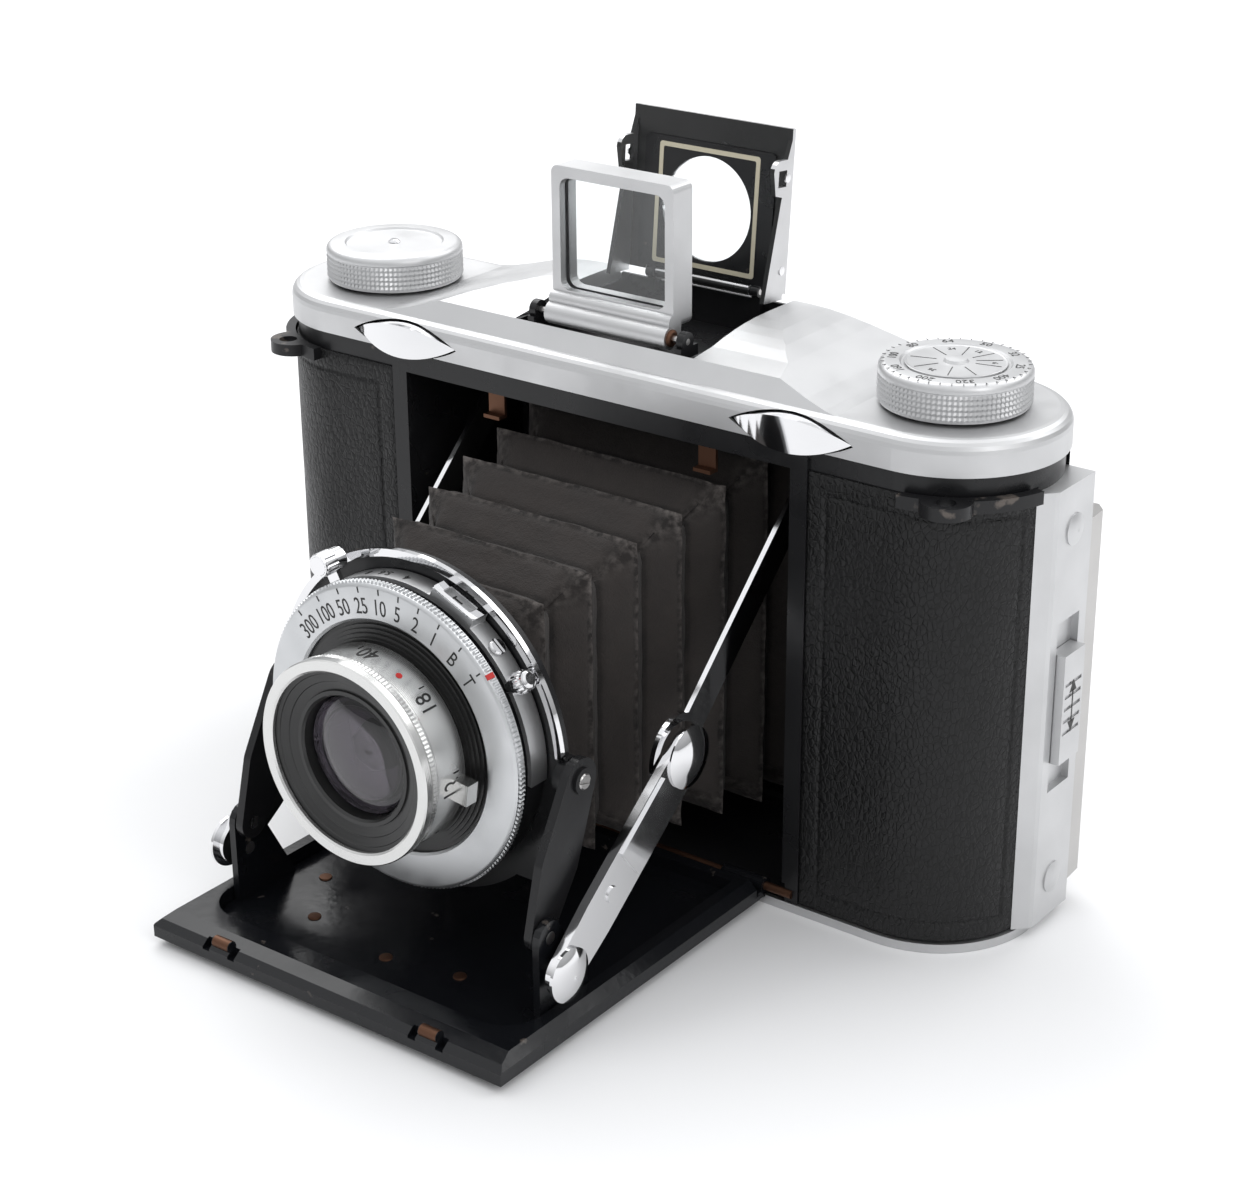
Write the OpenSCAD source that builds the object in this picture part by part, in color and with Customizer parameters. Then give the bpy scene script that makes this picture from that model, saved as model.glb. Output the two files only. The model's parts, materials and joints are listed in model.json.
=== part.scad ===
// Self-erecting folding roll-film camera, 6 x 6 cm, drop bed open and lens drawn out.
// Millimetres. +Z is up, the lens looks along -Y, +X is the viewer's right when facing the lens.
// The origin is on the base: X at the lens axis, Y at the film spool axes.

/* [Body] */
// Overall width of the body over the leather
body_w = 143.6; // [136:0.2:173]
// Depth of the rounded body over the leather
body_d = 34.6; // [32:0.2:40]
// Height of the top cover's lower edge above the base
body_h = 77.6; // [76:0.2:94]
// Thickness of the chromed base plate
base_t = 1.5; // [1:0.1:3]
// Thickness of the leather covering
skin_t = 0.6; // [0.3:0.1:1.2]
// Wall of the top cover
cover_t = 1.2; // [0.8:0.1:1.6]
// Distance of the back's parting plane behind the spool axes
back_y = 9; // [8:0.2:10.5]
// Wall of the metal back
back_wall = 1.1; // [0.8:0.1:1.6]

/* [Film] */
// Side of the square film gate
gate_side = 56; // [50:0.5:57]
// Distance of the film plane behind the spool axes
film_y = 13.5; // [13:0.1:14.2]
// Radius of a film chamber
chamber_r = 14.3; // [13.4:0.1:14.6]
// Radius of a spool flange
flange_r = 12.6; // [12:0.1:13]
// Overall length of a film spool
spool_l = 65.6; // [60:0.1:66]
// Radius of a film roller
roller_r = 1.9; // [1.4:0.1:2.2]

/* [Front opening] */
// Width of the opening for lens and bellows
open_w = 74.7; // [72:0.1:76]
// Height of the opening's lower edge
open_z0 = 2.4; // [2.2:0.1:3]
// Distance of the opening's upper edge below the top cover
open_top = 3.5; // [3:0.1:4.5]

/* [Bed] */
// Width of the drop bed
bed_w = 69; // [66:0.2:70]
// Length of the bed in front of its hinge
bed_l = 65.9; // [65:0.1:68]
// Height of the hinge axis
hinge_z = 3; // [2.9:0.1:3.2]
// Radius of the hinge rod
hinge_r = 0.7; // [0.5:0.05:0.9]
// Height of the bed's rim above the hinge axis
rim_h = 1.84; // [1.2:0.1:2.2]

/* [Lens and shutter] */
// Height of the lens axis
lens_z = 38.2; // [37.5:0.1:39]
// Distance of the lens standard in front of the hinge
lens_u = 41; // [40:0.1:42]
// Radius of the shutter's speed ring
shutter_r = 24.2; // [22:0.1:24.4]
// Radius of the lens's front rim
rim_r = 15.9; // [14:0.1:16.2]
// Radius of the front glass
glass_r = 9.2; // [7:0.1:10]
// Length from the standard to the lens's front rim
lens_l = 17.2; // [15:0.1:17.4]

/* [Struts] */
// Thickness of a lower strut
strut_t = 1.4; // [1:0.1:1.8]
// Width of a lower strut
strut_w = 8; // [6:0.2:9]
// Radius of a strut's domed cap
cap_r = 4.9; // [4:0.1:5.2]
// Thickness of a link of the lens standard
link_t = 1.4; // [1:0.1:1.6]

/* [Knobs] */
// Radius of a winding knob
knob_r = 11.5; // [9:0.1:12.5]
// Height of a winding knob
knob_h = 6; // [4:0.1:8]

/* [Finder] */
// Half width of the front finder frame
frame_hw = 11.6; // [10:0.1:12.4]
// Height of the front finder frame above its hinge
frame_h = 23.3; // [20:0.1:23.6]
// Depth of the front finder frame
frame_d = 4.8; // [3:0.1:5]
// Half width of the rear finder panel
panel_hw = 15.2; // [14.6:0.1:16]
// Height of the rear finder panel above its hinge
panel_h = 26.4; // [24:0.1:27]
// Radius of the eye opening
eye_r = 8.4; // [5:0.1:9]

/* [Clearances] */
// Radial clearance of a running fit
run = 0.05; // [0.02:0.01:0.1]
// Gap between pieces that move past each other
gap = 0.3; // [0.2:0.05:0.5]

/* [Hidden] */
$fn = 96;

// Body outline
open_z1 = body_h - open_top;
end_r = body_d / 2;
spool_x = (body_w - body_d) / 2;
shell_r = end_r - skin_t;
front_y = -end_r;
base_r = end_r + 0.3;
gate_y = film_y - 1.3;
chamber_z0 = 4.4;
chamber_z1 = body_h - 4.4;
leather_z0 = base_t + 0.2;
leather_z1 = open_z1 + 0.2;
leather_x = open_w / 2 + 3;
shaft_r = 2.4;
bush_r = 6.5;
spool_z0 = (chamber_z0 + chamber_z1 - spool_l) / 2;
roller_x = open_w / 2 + 4.15;
gate_hw = roller_x + 4.5;
gate_z0 = base_t + 2 + gap;
roller_y = film_y - roller_r + 0.1;
film_z0 = lens_z - 31;
film_z1 = lens_z + 31;

// Latch plate on the right end and hinge of the back on the left end
plate_x = spool_x + end_r + 1.8;
plate_z0 = base_t + 0.2;
plate_z1 = open_z1 - 0.4;
slot_z0 = lens_z - 14;
slot_z1 = lens_z + 14;
knuckle_r = 1.5;
knuckle_l = 9;
knuckle_z = [6, open_z1 - 12.1];
back_hinge_x = -spool_x - end_r - 0.4;
back_hinge_y = back_y - 1.6;
back_pin_r = 0.6;
swell_hw = 36;
swell_t = 1.4;
window_x = 20;
window_r = 4;

// Top cover
cover_r = end_r + 0.2;
cover_z = body_h;
deck_z = cover_z + 5.4;
hump_x = spool_x - 5.5;
ridge_z = deck_z + 5.4;
brow_z = deck_z + 3;
well_hw = 17.2;
well_y0 = -13.6;
well_y1 = 15.3;
well_z = cover_z + 3;
tray_t = 0.6;
knob_z = deck_z + gap;
button_x = spool_x - 17.2;
button_w = 20.6;
button_t = 5.4;
button_z = cover_z + 2.1;
button_in = 2.4;

// Finder
front_hinge_y = -11.6;
front_hinge_z = cover_z + 10;
rear_hinge_y = 13.6;
rear_hinge_z = cover_z + 11;
panel_tilt = 5;
panel_t = 0.8;
roll_r = 1.8;
pin_r = 0.5;
barrel_r = 0.95;
ear_in = 13.6;
ear_w = 1.2;
rear_ear_x = 10;

// Drop bed, laid out with u forward of the hinge and v above it
hinge_y = front_y;
bed_y = hinge_y - bed_l;
bed_floor_t = 0.8;
bed_floor_z = hinge_z - 1.7;
pan_hw = bed_w / 2 - 3.7;
pan_y0 = bed_y + 7.4;
pan_t = 0.5;
pan_corner_r = 6;
tab_x = 20.6;
ear_t = 1.2;
knuckle_x = bed_w / 2 - 4.1;
ear_x = pan_hw - ear_t - 0.1;
ear_pin_r = 1;

// Folding train, points given as [forward of the hinge, above the hinge]
strut_a = [49.3, 8];
strut_k = [19.9, 30.7];
arm_b = [-16.6, 65.6];
link_p = [49.56, 13.11];
link_s = [lens_u - 0.94, lens_z - hinge_z - 1.23];
arm_t = 0.8;
arm_x = ear_x + ear_t + gap;
strut_x = arm_x + arm_t + gap;
link_x = ear_x - 0.2 - link_t;
stud_r = 1.1;
hook_r = cap_r + 0.2;
hook_t = 1.3;

// Lens stack, distances in front of the lens standard
std_y = hinge_y - lens_u;
std_t = 1.6;
std_hw = link_x - 1.7;
std_r = std_hw + 0.4;
case_l = 5;
case_r = shutter_r - 0.9;
band_l = 3.9;
ring_l = 1.9;
tube_r = 14.6;
ring_in = 18.2;
teeth = 96;
tooth_t = 0.3;
focus_in = 12;
focus_out = rim_r - 0.5;
cone_out = rim_r - 2.9;

function arc(cx, cy, r, a0, a1, n) = [for (i = [0:n]) let (a = a0 + (a1 - a0) * i / n)
    [cx + r * cos(a), cy + r * sin(a)]];

// Points of the folding train in [y, z]
function bed(p) = [hinge_y - p[0], hinge_z + p[1]];

// Extrudes a [y, z] outline along X
module yz(x0, x1) {
    translate([x0, 0, 0]) rotate([90, 0, 90]) linear_extrude(x1 - x0) children();
}

// Extrudes an [x, z] outline along Y
module xz(y0, y1) {
    translate([0, y1, 0]) rotate([90, 0, 0]) linear_extrude(y1 - y0) children();
}

// A rod along X through the point [y, z]
module rod(x0, x1, p, r) {
    translate([x0, p[0], p[1]]) rotate([0, 90, 0]) cylinder(r = r, h = x1 - x0);
}

// Turns a [radius, distance] outline about the lens axis, starting at y and going forward
module lathe(y) {
    translate([0, y, lens_z]) rotate([90, 0, 0]) rotate_extrude() children();
}

// The rounded-end plan of the body
module stadium(r) {
    square([2 * spool_x, 2 * r], center = true);
    for (s = [-1, 1]) translate([s * spool_x, 0]) circle(r);
}

// A rounded-end block whose upper edge has a soft shoulder
module pill(r, z0, z1, f) {
    edge = concat([[r, z0]], arc(r - f, z1 - f, f, 0, 90, 5));
    for (s = [0, 180]) rotate([0, 0, s]) translate([spool_x, 0, 0]) rotate([0, 0, -90])
        rotate_extrude(angle = 180) polygon(concat([[0, z0]], edge, [[0, z1]]));
    yz(-spool_x, spool_x) polygon(concat(edge, [for (i = [len(edge) - 1:-1:0])
        [-edge[i][0], edge[i][1]]]));
}

// Rounded rectangle about the Z axis, w wide from z0 to z1
module rounded(w, z0, z1, r) {
    polygon(concat(arc(w / 2 - r, z1 - r, r, 0, 90, 5), arc(-w / 2 + r, z1 - r, r, 90, 180, 5),
        arc(-w / 2 + r, z0 + r, r, 180, 270, 5), arc(w / 2 - r, z0 + r, r, 270, 360, 5)));
}

// Rounded bar between two points of a [y, z] plane
module bar(p, q, r) {
    hull() {
        translate(p) circle(r);
        translate(q) circle(r);
    }
}

// ---------------------------------------------------------------- body

module body_shell() {
    color([0.07, 0.07, 0.08]) difference() {
        union() {
            intersection() {
                translate([0, 0, base_t]) linear_extrude(body_h - base_t) stadium(shell_r);
                translate([-body_w, -body_d, 0]) cube([2 * body_w, body_d + back_y, body_h]);
            }
            // front frame that stands level with the leather
            translate([-leather_x, front_y, base_t])
                cube([2 * leather_x, skin_t + 1, body_h - base_t]);
            // knuckles of the back's hinge
            for (z = knuckle_z) translate([back_hinge_x, back_hinge_y, z]) {
                cylinder(r = knuckle_r, h = knuckle_l);
                translate([0, -knuckle_r, 0]) cube([3, 2.6, knuckle_l]);
            }
        }
        // bellows chamber
        translate([-open_w / 2, -body_d, open_z0])
            cube([open_w, 2 * body_d, open_z1 - open_z0]);
        for (s = [-1, 1]) {
            translate([s * spool_x, 0, chamber_z0])
                cylinder(r = chamber_r, h = chamber_z1 - chamber_z0);
            translate([s * spool_x, 0, chamber_z1 - 1])
                cylinder(r = shaft_r + run, h = body_h);
            // feed and take-up pivots in the floor
            translate([s * spool_x, 0, 0]) cylinder(r = bush_r, h = chamber_z0 + 1);
        }
        // trough for the bed's hinge
        rod(-leather_x + 2.4, leather_x - 2.4, [hinge_y, hinge_z], 1.6);
        rod(-leather_x + 1, leather_x - 1, [hinge_y, hinge_z], hinge_r);
        // hinge rod of the back
        translate([back_hinge_x, back_hinge_y, 0]) cylinder(r = back_pin_r, h = body_h);
        // pockets behind the buttons
        for (s = [-1, 1]) translate([s * button_x, 0, button_z])
            xz(-body_d, front_y + button_in) almond(button_w + 1.2, button_t + 0.5);
    }
}

// Frame behind the bellows with the picture window and the beds of both film rollers
module film_gate() {
    color([0.07, 0.07, 0.08]) difference() {
        translate([-gate_hw, back_y, gate_z0])
            cube([2 * gate_hw, film_y - back_y, open_z1 - gate_z0]);
        translate([-open_w / 2, 0, 0]) cube([open_w, gate_y, body_h]);
        translate([-gate_side / 2, 0, lens_z - gate_side / 2])
            cube([gate_side, body_d, gate_side]);
        for (s = [-1, 1]) {
            translate([s * spool_x, 0, 0]) cylinder(r = chamber_r, h = body_h);
            translate([s * roller_x, roller_y, film_z0 - 0.4])
                cylinder(r = roller_r + 0.4, h = film_z1 - film_z0 + 0.8);
            translate([s * roller_x, roller_y, film_z0 - 2])
                cylinder(r = 0.8, h = film_z1 - film_z0 + 4);
        }
    }
}

module base_plate() {
    color("silver") difference() {
        linear_extrude(base_t) stadium(base_r);
        for (s = [-1, 1]) translate([s * spool_x, 0, -1]) cylinder(r = bush_r, h = base_t + 2);
        // room for the bed's knuckles
        rod(-bed_w / 2, bed_w / 2, [hinge_y, hinge_z], 1.9);
    }
}

// Bushes under both spools: the right one takes the tripod screw
module tripod_bush() {
    color("silver") {
        translate([spool_x, 0, 0]) difference() {
            cylinder(r = bush_r, h = chamber_z0 - 0.2);
            translate([0, 0, -1]) cylinder(r = 3.97, h = chamber_z0 + 2);
        }
        translate([-spool_x, 0, 0]) cylinder(r = bush_r, h = chamber_z0 - 0.2);
    }
}

module leather(x_sign, y_end) {
    intersection() {
        difference() {
            translate([0, 0, leather_z0]) linear_extrude(leather_z1 - leather_z0) stadium(end_r);
            translate([0, 0, leather_z0 - 1]) linear_extrude(leather_z1) stadium(shell_r);
        }
        translate([x_sign > 0 ? leather_x : -leather_x - body_w, -body_d, 0])
            cube([body_w, body_d + y_end, body_h]);
    }
}

module leather_left() {
    color([0.1, 0.1, 0.1]) leather(-1, back_y - 4);
}

module leather_right() {
    color([0.1, 0.1, 0.1]) leather(1, -3.4);
}

// Central rise of the cover: its long profile and its cross profile are intersected
module hump() {
    n = 8;
    w0 = well_hw + 3;
    fall = [for (i = [0:n]) let (t = i / n)
        [w0 + (hump_x - w0) * t, deck_z - 0.5 + (ridge_z - deck_z + 0.5) * (1 + cos(180 * t)) / 2]];
    intersection() {
        xz(-cover_r, cover_r) polygon(concat([[hump_x, cover_z + 1]],
            [for (i = [n:-1:0]) fall[i]], [for (p = fall) [-p[0], p[1]]],
            [[-hump_x, cover_z + 1]]));
        yz(-hump_x - 1, hump_x + 1) polygon(concat([[-cover_r + 0.6, cover_z + 1],
            [-cover_r + 0.6, deck_z - 1.6], [-cover_r + 1.6, deck_z - 0.4], [well_y0, brow_z]],
            arc(6, ridge_z - 60, 60, 104, 90, 5),
            [[cover_r - 4, ridge_z], [cover_r - 1.2, deck_z + 1.5], [cover_r - 0.6, cover_z + 1]]));
    }
}

module almond(w, h) {
    r = (w * w / 4 + h * h / 4) / h;
    intersection() {
        translate([0, -r + h / 2]) circle(r);
        translate([0, r - h / 2]) circle(r);
    }
}

// Inside of the cover, which is left out under the finder well
module cover_hollow() {
    difference() {
        union() {
            pill(cover_r - cover_t, cover_z - 1, deck_z - cover_t, 1);
            translate([0, 0, -cover_t]) hump();
        }
        translate([-well_hw - cover_t, -body_d, well_z - cover_t])
            cube([2 * (well_hw + cover_t), 2 * body_d, 20]);
    }
}

module top_cover() {
    color([0.82, 0.83, 0.85]) difference() {
        union() {
            pill(cover_r, cover_z, deck_z, 2);
            hump();
        }
        cover_hollow();
        // finder well
        translate([-well_hw, well_y0, well_z]) cube([2 * well_hw, well_y1 - well_y0, 20]);
        // shafts of the two knobs
        for (s = [-1, 1]) translate([s * spool_x, 0, cover_z]) cylinder(r = shaft_r + run, h = 20);
        // pockets for the two buttons
        for (s = [-1, 1]) translate([s * button_x, 0, button_z]) {
            xz(-body_d, front_y + button_in) almond(button_w + 1.2, button_t + 0.5);
            xz(front_y, front_y + 6) translate([-1.6, -2]) square([3.2, 2.8]);
        }
    }
}

module strap_lugs() {
    color([0.12, 0.12, 0.13]) for (s = [-1, 1]) mirror([s < 0 ? 1 : 0, 0, 0])
        translate([spool_x, 0, body_h - 4.9]) difference() {
            intersection() {
                linear_extrude(2) union() {
                    circle(end_r + 1.6);
                    rotate(-62) translate([end_r + 1.2, 0]) circle(3.9);
                }
                linear_extrude(2) polygon([[0, 0], [3, -30], [25, -30], [25, -7]]);
            }
            translate([0, 0, -1]) cylinder(r = end_r, h = 4);
            rotate(-62) translate([end_r + 2.2, 0, -1]) cylinder(r = 1.5, h = 4);
        }
}

module latch_plate() {
    color("silver") difference() {
        translate([0, 0, plate_z0]) linear_extrude(plate_z1 - plate_z0) difference() {
            polygon([[plate_x - 3, -5], [plate_x - 0.4, -2.4], [plate_x, -1.8], [plate_x, back_y],
                [plate_x - 6, back_y]]);
            translate([spool_x, 0]) circle(shell_r);
        }
        // leather edge stops at the plate
        translate([spool_x, 0, 0]) linear_extrude(body_h) intersection() {
            circle(end_r);
            translate([0, -20]) square([30, 16.6]);
        }
        translate([plate_x - 1.2, 0.2, slot_z0]) cube([3, 6.6, slot_z1 - slot_z0]);
    }
}

module latch_rivets() {
    color("silver") for (z = [plate_z0 + 6.7, plate_z1 - 7.3]) translate([plate_x, 3.4, z]) rotate([0, 90, 0])
        intersection() {
            cylinder(r = 2.5, h = 1);
            translate([0, 0, -5]) sphere(r = 5.8);
        }
}

module latch_slider() {
    color("silver") difference() {
        translate([plate_x - 1.1, 0.4, slot_z0 + 5]) cube([2.6, 6.2, slot_z1 - slot_z0 - 10]);
        // grip lines across the slider
        for (z = [-4:2:4]) translate([plate_x + 1.2, 1, lens_z + z - 0.3]) cube([1, 5, 0.6]);
    }
}

// ---------------------------------------------------------------- back

module back_door() {
    mid_z0 = knuckle_z[0] + knuckle_l + 1;
    mid_l = knuckle_z[1] - mid_z0 - 0.5;
    color([0.07, 0.07, 0.08]) difference() {
        union() {
            intersection() {
                translate([0, 0, base_t + gap]) linear_extrude(body_h - base_t - 2 * gap)
                    stadium(end_r);
                translate([-body_w, back_y + 0.1, 0]) cube([2 * body_w, body_d, body_h]);
            }
            // swelling over the pressure plate
            translate([0, end_r - 0.1, 0]) xz(0, swell_t + 0.1)
                rounded(2 * swell_hw, 6, open_z1 - 4.1, 3);
            translate([back_hinge_x, back_hinge_y, mid_z0]) {
                cylinder(r = knuckle_r, h = mid_l);
                cube([5.2, 3.4, mid_l]);
            }
        }
        // inside of the back
        intersection() {
            translate([0, 0, base_t + 2]) linear_extrude(body_h - base_t - 4)
                stadium(end_r - back_wall);
            translate([-body_w, back_y, 0]) cube([2 * body_w, body_d, body_h]);
        }
        translate([back_hinge_x, back_hinge_y, 0]) cylinder(r = back_pin_r + run, h = body_h);
        // clearance of the hinge side from the body
        translate([-spool_x - end_r + 1.4, back_y - 4, 0])
            cube([8, 4.1, body_h]);
        // red window
        translate([window_x, end_r - 3, lens_z]) rotate([-90, 0, 0]) cylinder(r = window_r, h = 8);
    }
}

module back_leather() {
    color([0.1, 0.1, 0.1]) difference() {
        xz(end_r + swell_t, end_r + swell_t + 0.5)
            rounded(2 * swell_hw - 4, 8, open_z1 - 6.1, 2);
        translate([window_x, end_r, lens_z]) rotate([-90, 0, 0]) cylinder(r = window_r, h = 4);
    }
}

module back_catch() {
    color([0.3, 0.3, 0.32]) difference() {
        translate([0, 0, 5]) linear_extrude(open_z1 - 13.1) polygon([
            [plate_x - 1.6, back_y + gap], [plate_x - 0.3, back_y + gap], [plate_x - 0.6, end_r - 3.7],
            [plate_x - 2.2, end_r - 1.9], [plate_x - 7.3, end_r - 2.3],
            [plate_x - 9.6, end_r - 3.8]]);
        translate([spool_x, 0, 0]) cylinder(r = end_r, h = body_h);
    }
}

module back_hinge_pin() {
    color("silver") translate([back_hinge_x, back_hinge_y, knuckle_z[0] - 0.6])
        cylinder(r = back_pin_r, h = knuckle_z[1] + knuckle_l + 1.2 - knuckle_z[0]);
}

module pressure_plate() {
    color([0.15, 0.15, 0.16]) translate([-33, film_y + 0.5, lens_z - 30.5]) cube([66, 0.7, 61]);
}

module pressure_spring() {
    color("silver") xz(film_y + 1.2, film_y + 1.5) translate([-24, lens_z - 4]) square([48, 8]);
    color("silver") for (s = [-1, 1]) translate([s * 20, film_y + 1.2, lens_z])
        rotate([-90, 0, 0]) cylinder(r = 1.6, h = end_r - back_wall - film_y - 1.2);
}

module red_window() {
    color([0.6, 0.05, 0.05]) translate([window_x, end_r - back_wall, lens_z])
        rotate([-90, 0, 0]) cylinder(r = window_r, h = 1);
}

module window_cover() {
    color("silver") translate([window_x, end_r + swell_t + 0.5 + gap, lens_z]) rotate([-90, 0, 0]) {
        cylinder(r = window_r + 1, h = 0.6);
        translate([0, 9, 0]) cylinder(r = 2, h = 1.2);
        translate([-2, 0, 0]) cube([4, 9, 0.6]);
    }
}

// ---------------------------------------------------------------- film transport

module film_rollers() {
    color("silver") for (s = [-1, 1]) translate([s * roller_x, roller_y, 0]) {
        translate([0, 0, film_z0]) cylinder(r = roller_r, h = film_z1 - film_z0);
        translate([0, 0, film_z0 - 1.8]) cylinder(r = 0.75, h = film_z1 - film_z0 + 3.6);
    }
}

module spool() {
    difference() {
        union() {
            translate([0, 0, spool_z0]) cylinder(r = 5.8, h = spool_l);
            for (z = [spool_z0, spool_z0 + spool_l - 1.2]) translate([0, 0, z])
                cylinder(r = flange_r, h = 1.2);
        }
        // slot that takes the key of the knob's shaft
        translate([-0.7, -2.6, spool_z0 + spool_l - 4]) cube([1.4, 5.2, 6]);
        translate([0, 0, spool_z0 - 1]) cylinder(r = 2.2, h = 6);
        translate([-10, -0.8, spool_z0 + 20]) cube([20, 1.6, spool_l - 40]);
    }
}

module takeup_spool() {
    color([0.2, 0.2, 0.2]) translate([spool_x, 0, 0]) spool();
}

module feed_spool() {
    color([0.2, 0.2, 0.2]) translate([-spool_x, 0, 0]) spool();
}

module knob() {
    translate([0, 0, knob_z]) rotate_extrude() polygon(concat([[0, 0], [knob_r - 0.5, 0]],
        [for (i = [0:4]) each [[knob_r, 0.4 + i * 0.8], [knob_r, 0.85 + i * 0.8],
            [knob_r - 0.3, 0.95 + i * 0.8], [knob_r - 0.3, 1.1 + i * 0.8]]],
        [[knob_r, 4.4]], arc(knob_r - 1.2, knob_h - 1.2, 1.2, 0, 90, 5),
        [[knob_r - 3.2, knob_h], [knob_r - 3.6, knob_h - 0.35], [0, knob_h - 0.35]]));
    // shaft and key
    translate([0, 0, spool_z0 + spool_l + 0.2])
        cylinder(r = shaft_r, h = knob_z - spool_z0 - spool_l);
    translate([-0.6, -2.3, spool_z0 + spool_l - 3.6]) cube([1.2, 4.6, 4.2]);
}

module wind_knob() {
    color("silver") translate([spool_x, 0, 0]) difference() {
        knob();
        translate([0, 0, knob_z + knob_h - 2.2]) cylinder(r = 1 + run, h = 4);
    }
}

module feed_knob() {
    color("silver") translate([-spool_x, 0, 0]) {
        knob();
        translate([0, 0, knob_z + knob_h - 0.5]) cylinder(r = 0.8, h = 0.5);
    }
}

module reminder_disc() {
    color("silver") translate([spool_x, 0, knob_z + knob_h - 0.3]) rotate_extrude()
        polygon([[0, -1.7], [1, -1.7], [1, 0], [7.4, 0], [7.2, 0.3], [1.9, 0.3], [1.6, 0.7],
            [0, 0.8]]);
}

// ---------------------------------------------------------------- buttons

module button(x) {
    translate([x, 0, button_z]) {
        intersection() {
            xz(-body_d, front_y + 1.3) almond(button_w, button_t);
            // curved face that stands proud of the cover in its middle
            translate([0, front_y + 24.2, -button_t]) cylinder(r = 26, h = 2 * button_t);
        }
        translate([-1.2, front_y + 1.2, -1.6]) cube([2.4, 2.4, 2]);
    }
}

module release_button() {
    color("silver") button(button_x);
}

module door_button() {
    color("silver") button(-button_x);
}

// ---------------------------------------------------------------- finder

module finder_well() {
    y0 = well_y0 + gap / 2;
    y1 = well_y1 - gap / 2;
    w = well_hw - gap / 2;
    color([0.06, 0.06, 0.06]) difference() {
        union() {
            translate([-w, y0, well_z]) cube([2 * w, y1 - y0, tray_t]);
            for (s = [-1, 1]) translate([s * (w - tray_t / 2) - tray_t / 2, y0, well_z])
                cube([tray_t, y1 - y0, brow_z - well_z]);
            translate([-w, y1 - tray_t, well_z]) cube([2 * w, tray_t, brow_z - well_z + 1]);
            // ears that hold the front hinge pin
            for (s = [0, 1]) mirror([s, 0, 0]) {
                translate([ear_in, y0, well_z]) cube([ear_w, 4.4, 6.2]);
                rod(ear_in, ear_in + ear_w, [front_hinge_y, front_hinge_z], 1.5);
            }
            // ears that hold the rear hinge pin
            for (s = [-1, 1]) translate([s * rear_ear_x - 0.8, rear_hinge_y - 0.2, well_z])
                cube([1.6, y1 - rear_hinge_y, rear_hinge_z - well_z]);
            for (s = [-1, 1]) rod(s * rear_ear_x - 0.8, s * rear_ear_x + 0.8,
                [rear_hinge_y, rear_hinge_z], barrel_r);
        }
        rod(-16, 16, [front_hinge_y, front_hinge_z], pin_r);
        rod(-16, 16, [rear_hinge_y, rear_hinge_z], pin_r);
    }
}

module finder_front_frame() {
    color("silver") difference() {
        union() {
            xz(front_hinge_y + 0.6, front_hinge_y + 0.6 + frame_d) difference() {
                rounded(2 * frame_hw, front_hinge_z + 1, front_hinge_z + frame_h, 1.2);
                rounded(2 * frame_hw - 3.2, front_hinge_z + 3.8, front_hinge_z + frame_h - 1.8, 1.6);
            }
            // rolled foot round the pin with a second roll above it
            rod(-frame_hw, frame_hw, [front_hinge_y, front_hinge_z], roll_r);
            rod(-frame_hw, frame_hw, [front_hinge_y + 0.7, front_hinge_z + 2.3], 1.2);
            translate([-frame_hw, front_hinge_y, front_hinge_z])
                cube([2 * frame_hw, 2.6, 2.4]);
        }
        rod(-20, 20, [front_hinge_y, front_hinge_z], pin_r + run);
        // groove for the glass
        translate([-frame_hw + 1, front_hinge_y + 1.9, front_hinge_z + 3.2])
            cube([2 * frame_hw - 2, 1.6, frame_h - 4.4]);
    }
}

module finder_front_glass() {
    color([0.75, 0.8, 0.85, 0.4]) translate([-frame_hw + 1, front_hinge_y + 1.9,
        front_hinge_z + 3.2]) cube([2 * frame_hw - 2, 1.6, frame_h - 4.4]);
}

module tilted() {
    translate([0, rear_hinge_y, rear_hinge_z]) rotate([-panel_tilt, 0, 0]) children();
}

module finder_rear_panel() {
    color([0.7, 0.7, 0.72]) tilted() difference() {
        union() {
            translate([-panel_hw, -panel_t / 2, 0]) cube([2 * panel_hw, panel_t, panel_h]);
            // side flanges with their catch loops
            for (s = [-1, 1]) difference() {
                yz(s * (panel_hw - 0.4) - 0.4, s * (panel_hw - 0.4) + 0.4)
                    polygon(concat([[0, -0.4], [-5.6, -0.4], [-2.4, 16], [-4.2, 16.4]],
                        arc(-3.2, 20, 1.8, 180, 90, 4), [[-1.4, 21.8], [0, panel_h - 0.6]]));
                yz(s * panel_hw - 2, s * panel_hw + 2) polygon([[-3.6, 17.6], [-1.4, 17.6],
                    [-1.4, 20.2], [-3.6, 20.2]]);
            }
            rod(-rear_ear_x + 1.1, rear_ear_x - 1.1, [0, 0], barrel_r);
        }
        translate([0, 4, 11.6]) rotate([90, 0, 0]) cylinder(r = eye_r, h = 8);
        rod(-20, 20, [0, 0], pin_r + run);
        for (s = [-1, 1]) translate([s * rear_ear_x - 1.1, -2, -2]) cube([2.2, 4, 3.6]);
    }
}

module finder_eye_lens() {
    color([0.75, 0.8, 0.85, 0.4]) tilted() translate([0, panel_t / 2, 11.6])
        rotate([90, 0, 0]) cylinder(r = eye_r, h = panel_t);
}

module finder_pins() {
    color("silver") {
        rod(-ear_in - ear_w, ear_in + ear_w, [front_hinge_y, front_hinge_z], pin_r);
        rod(-rear_ear_x - 0.8, rear_ear_x + 0.8, [rear_hinge_y, rear_hinge_z], pin_r);
    }
}

// ---------------------------------------------------------------- drop bed

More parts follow.
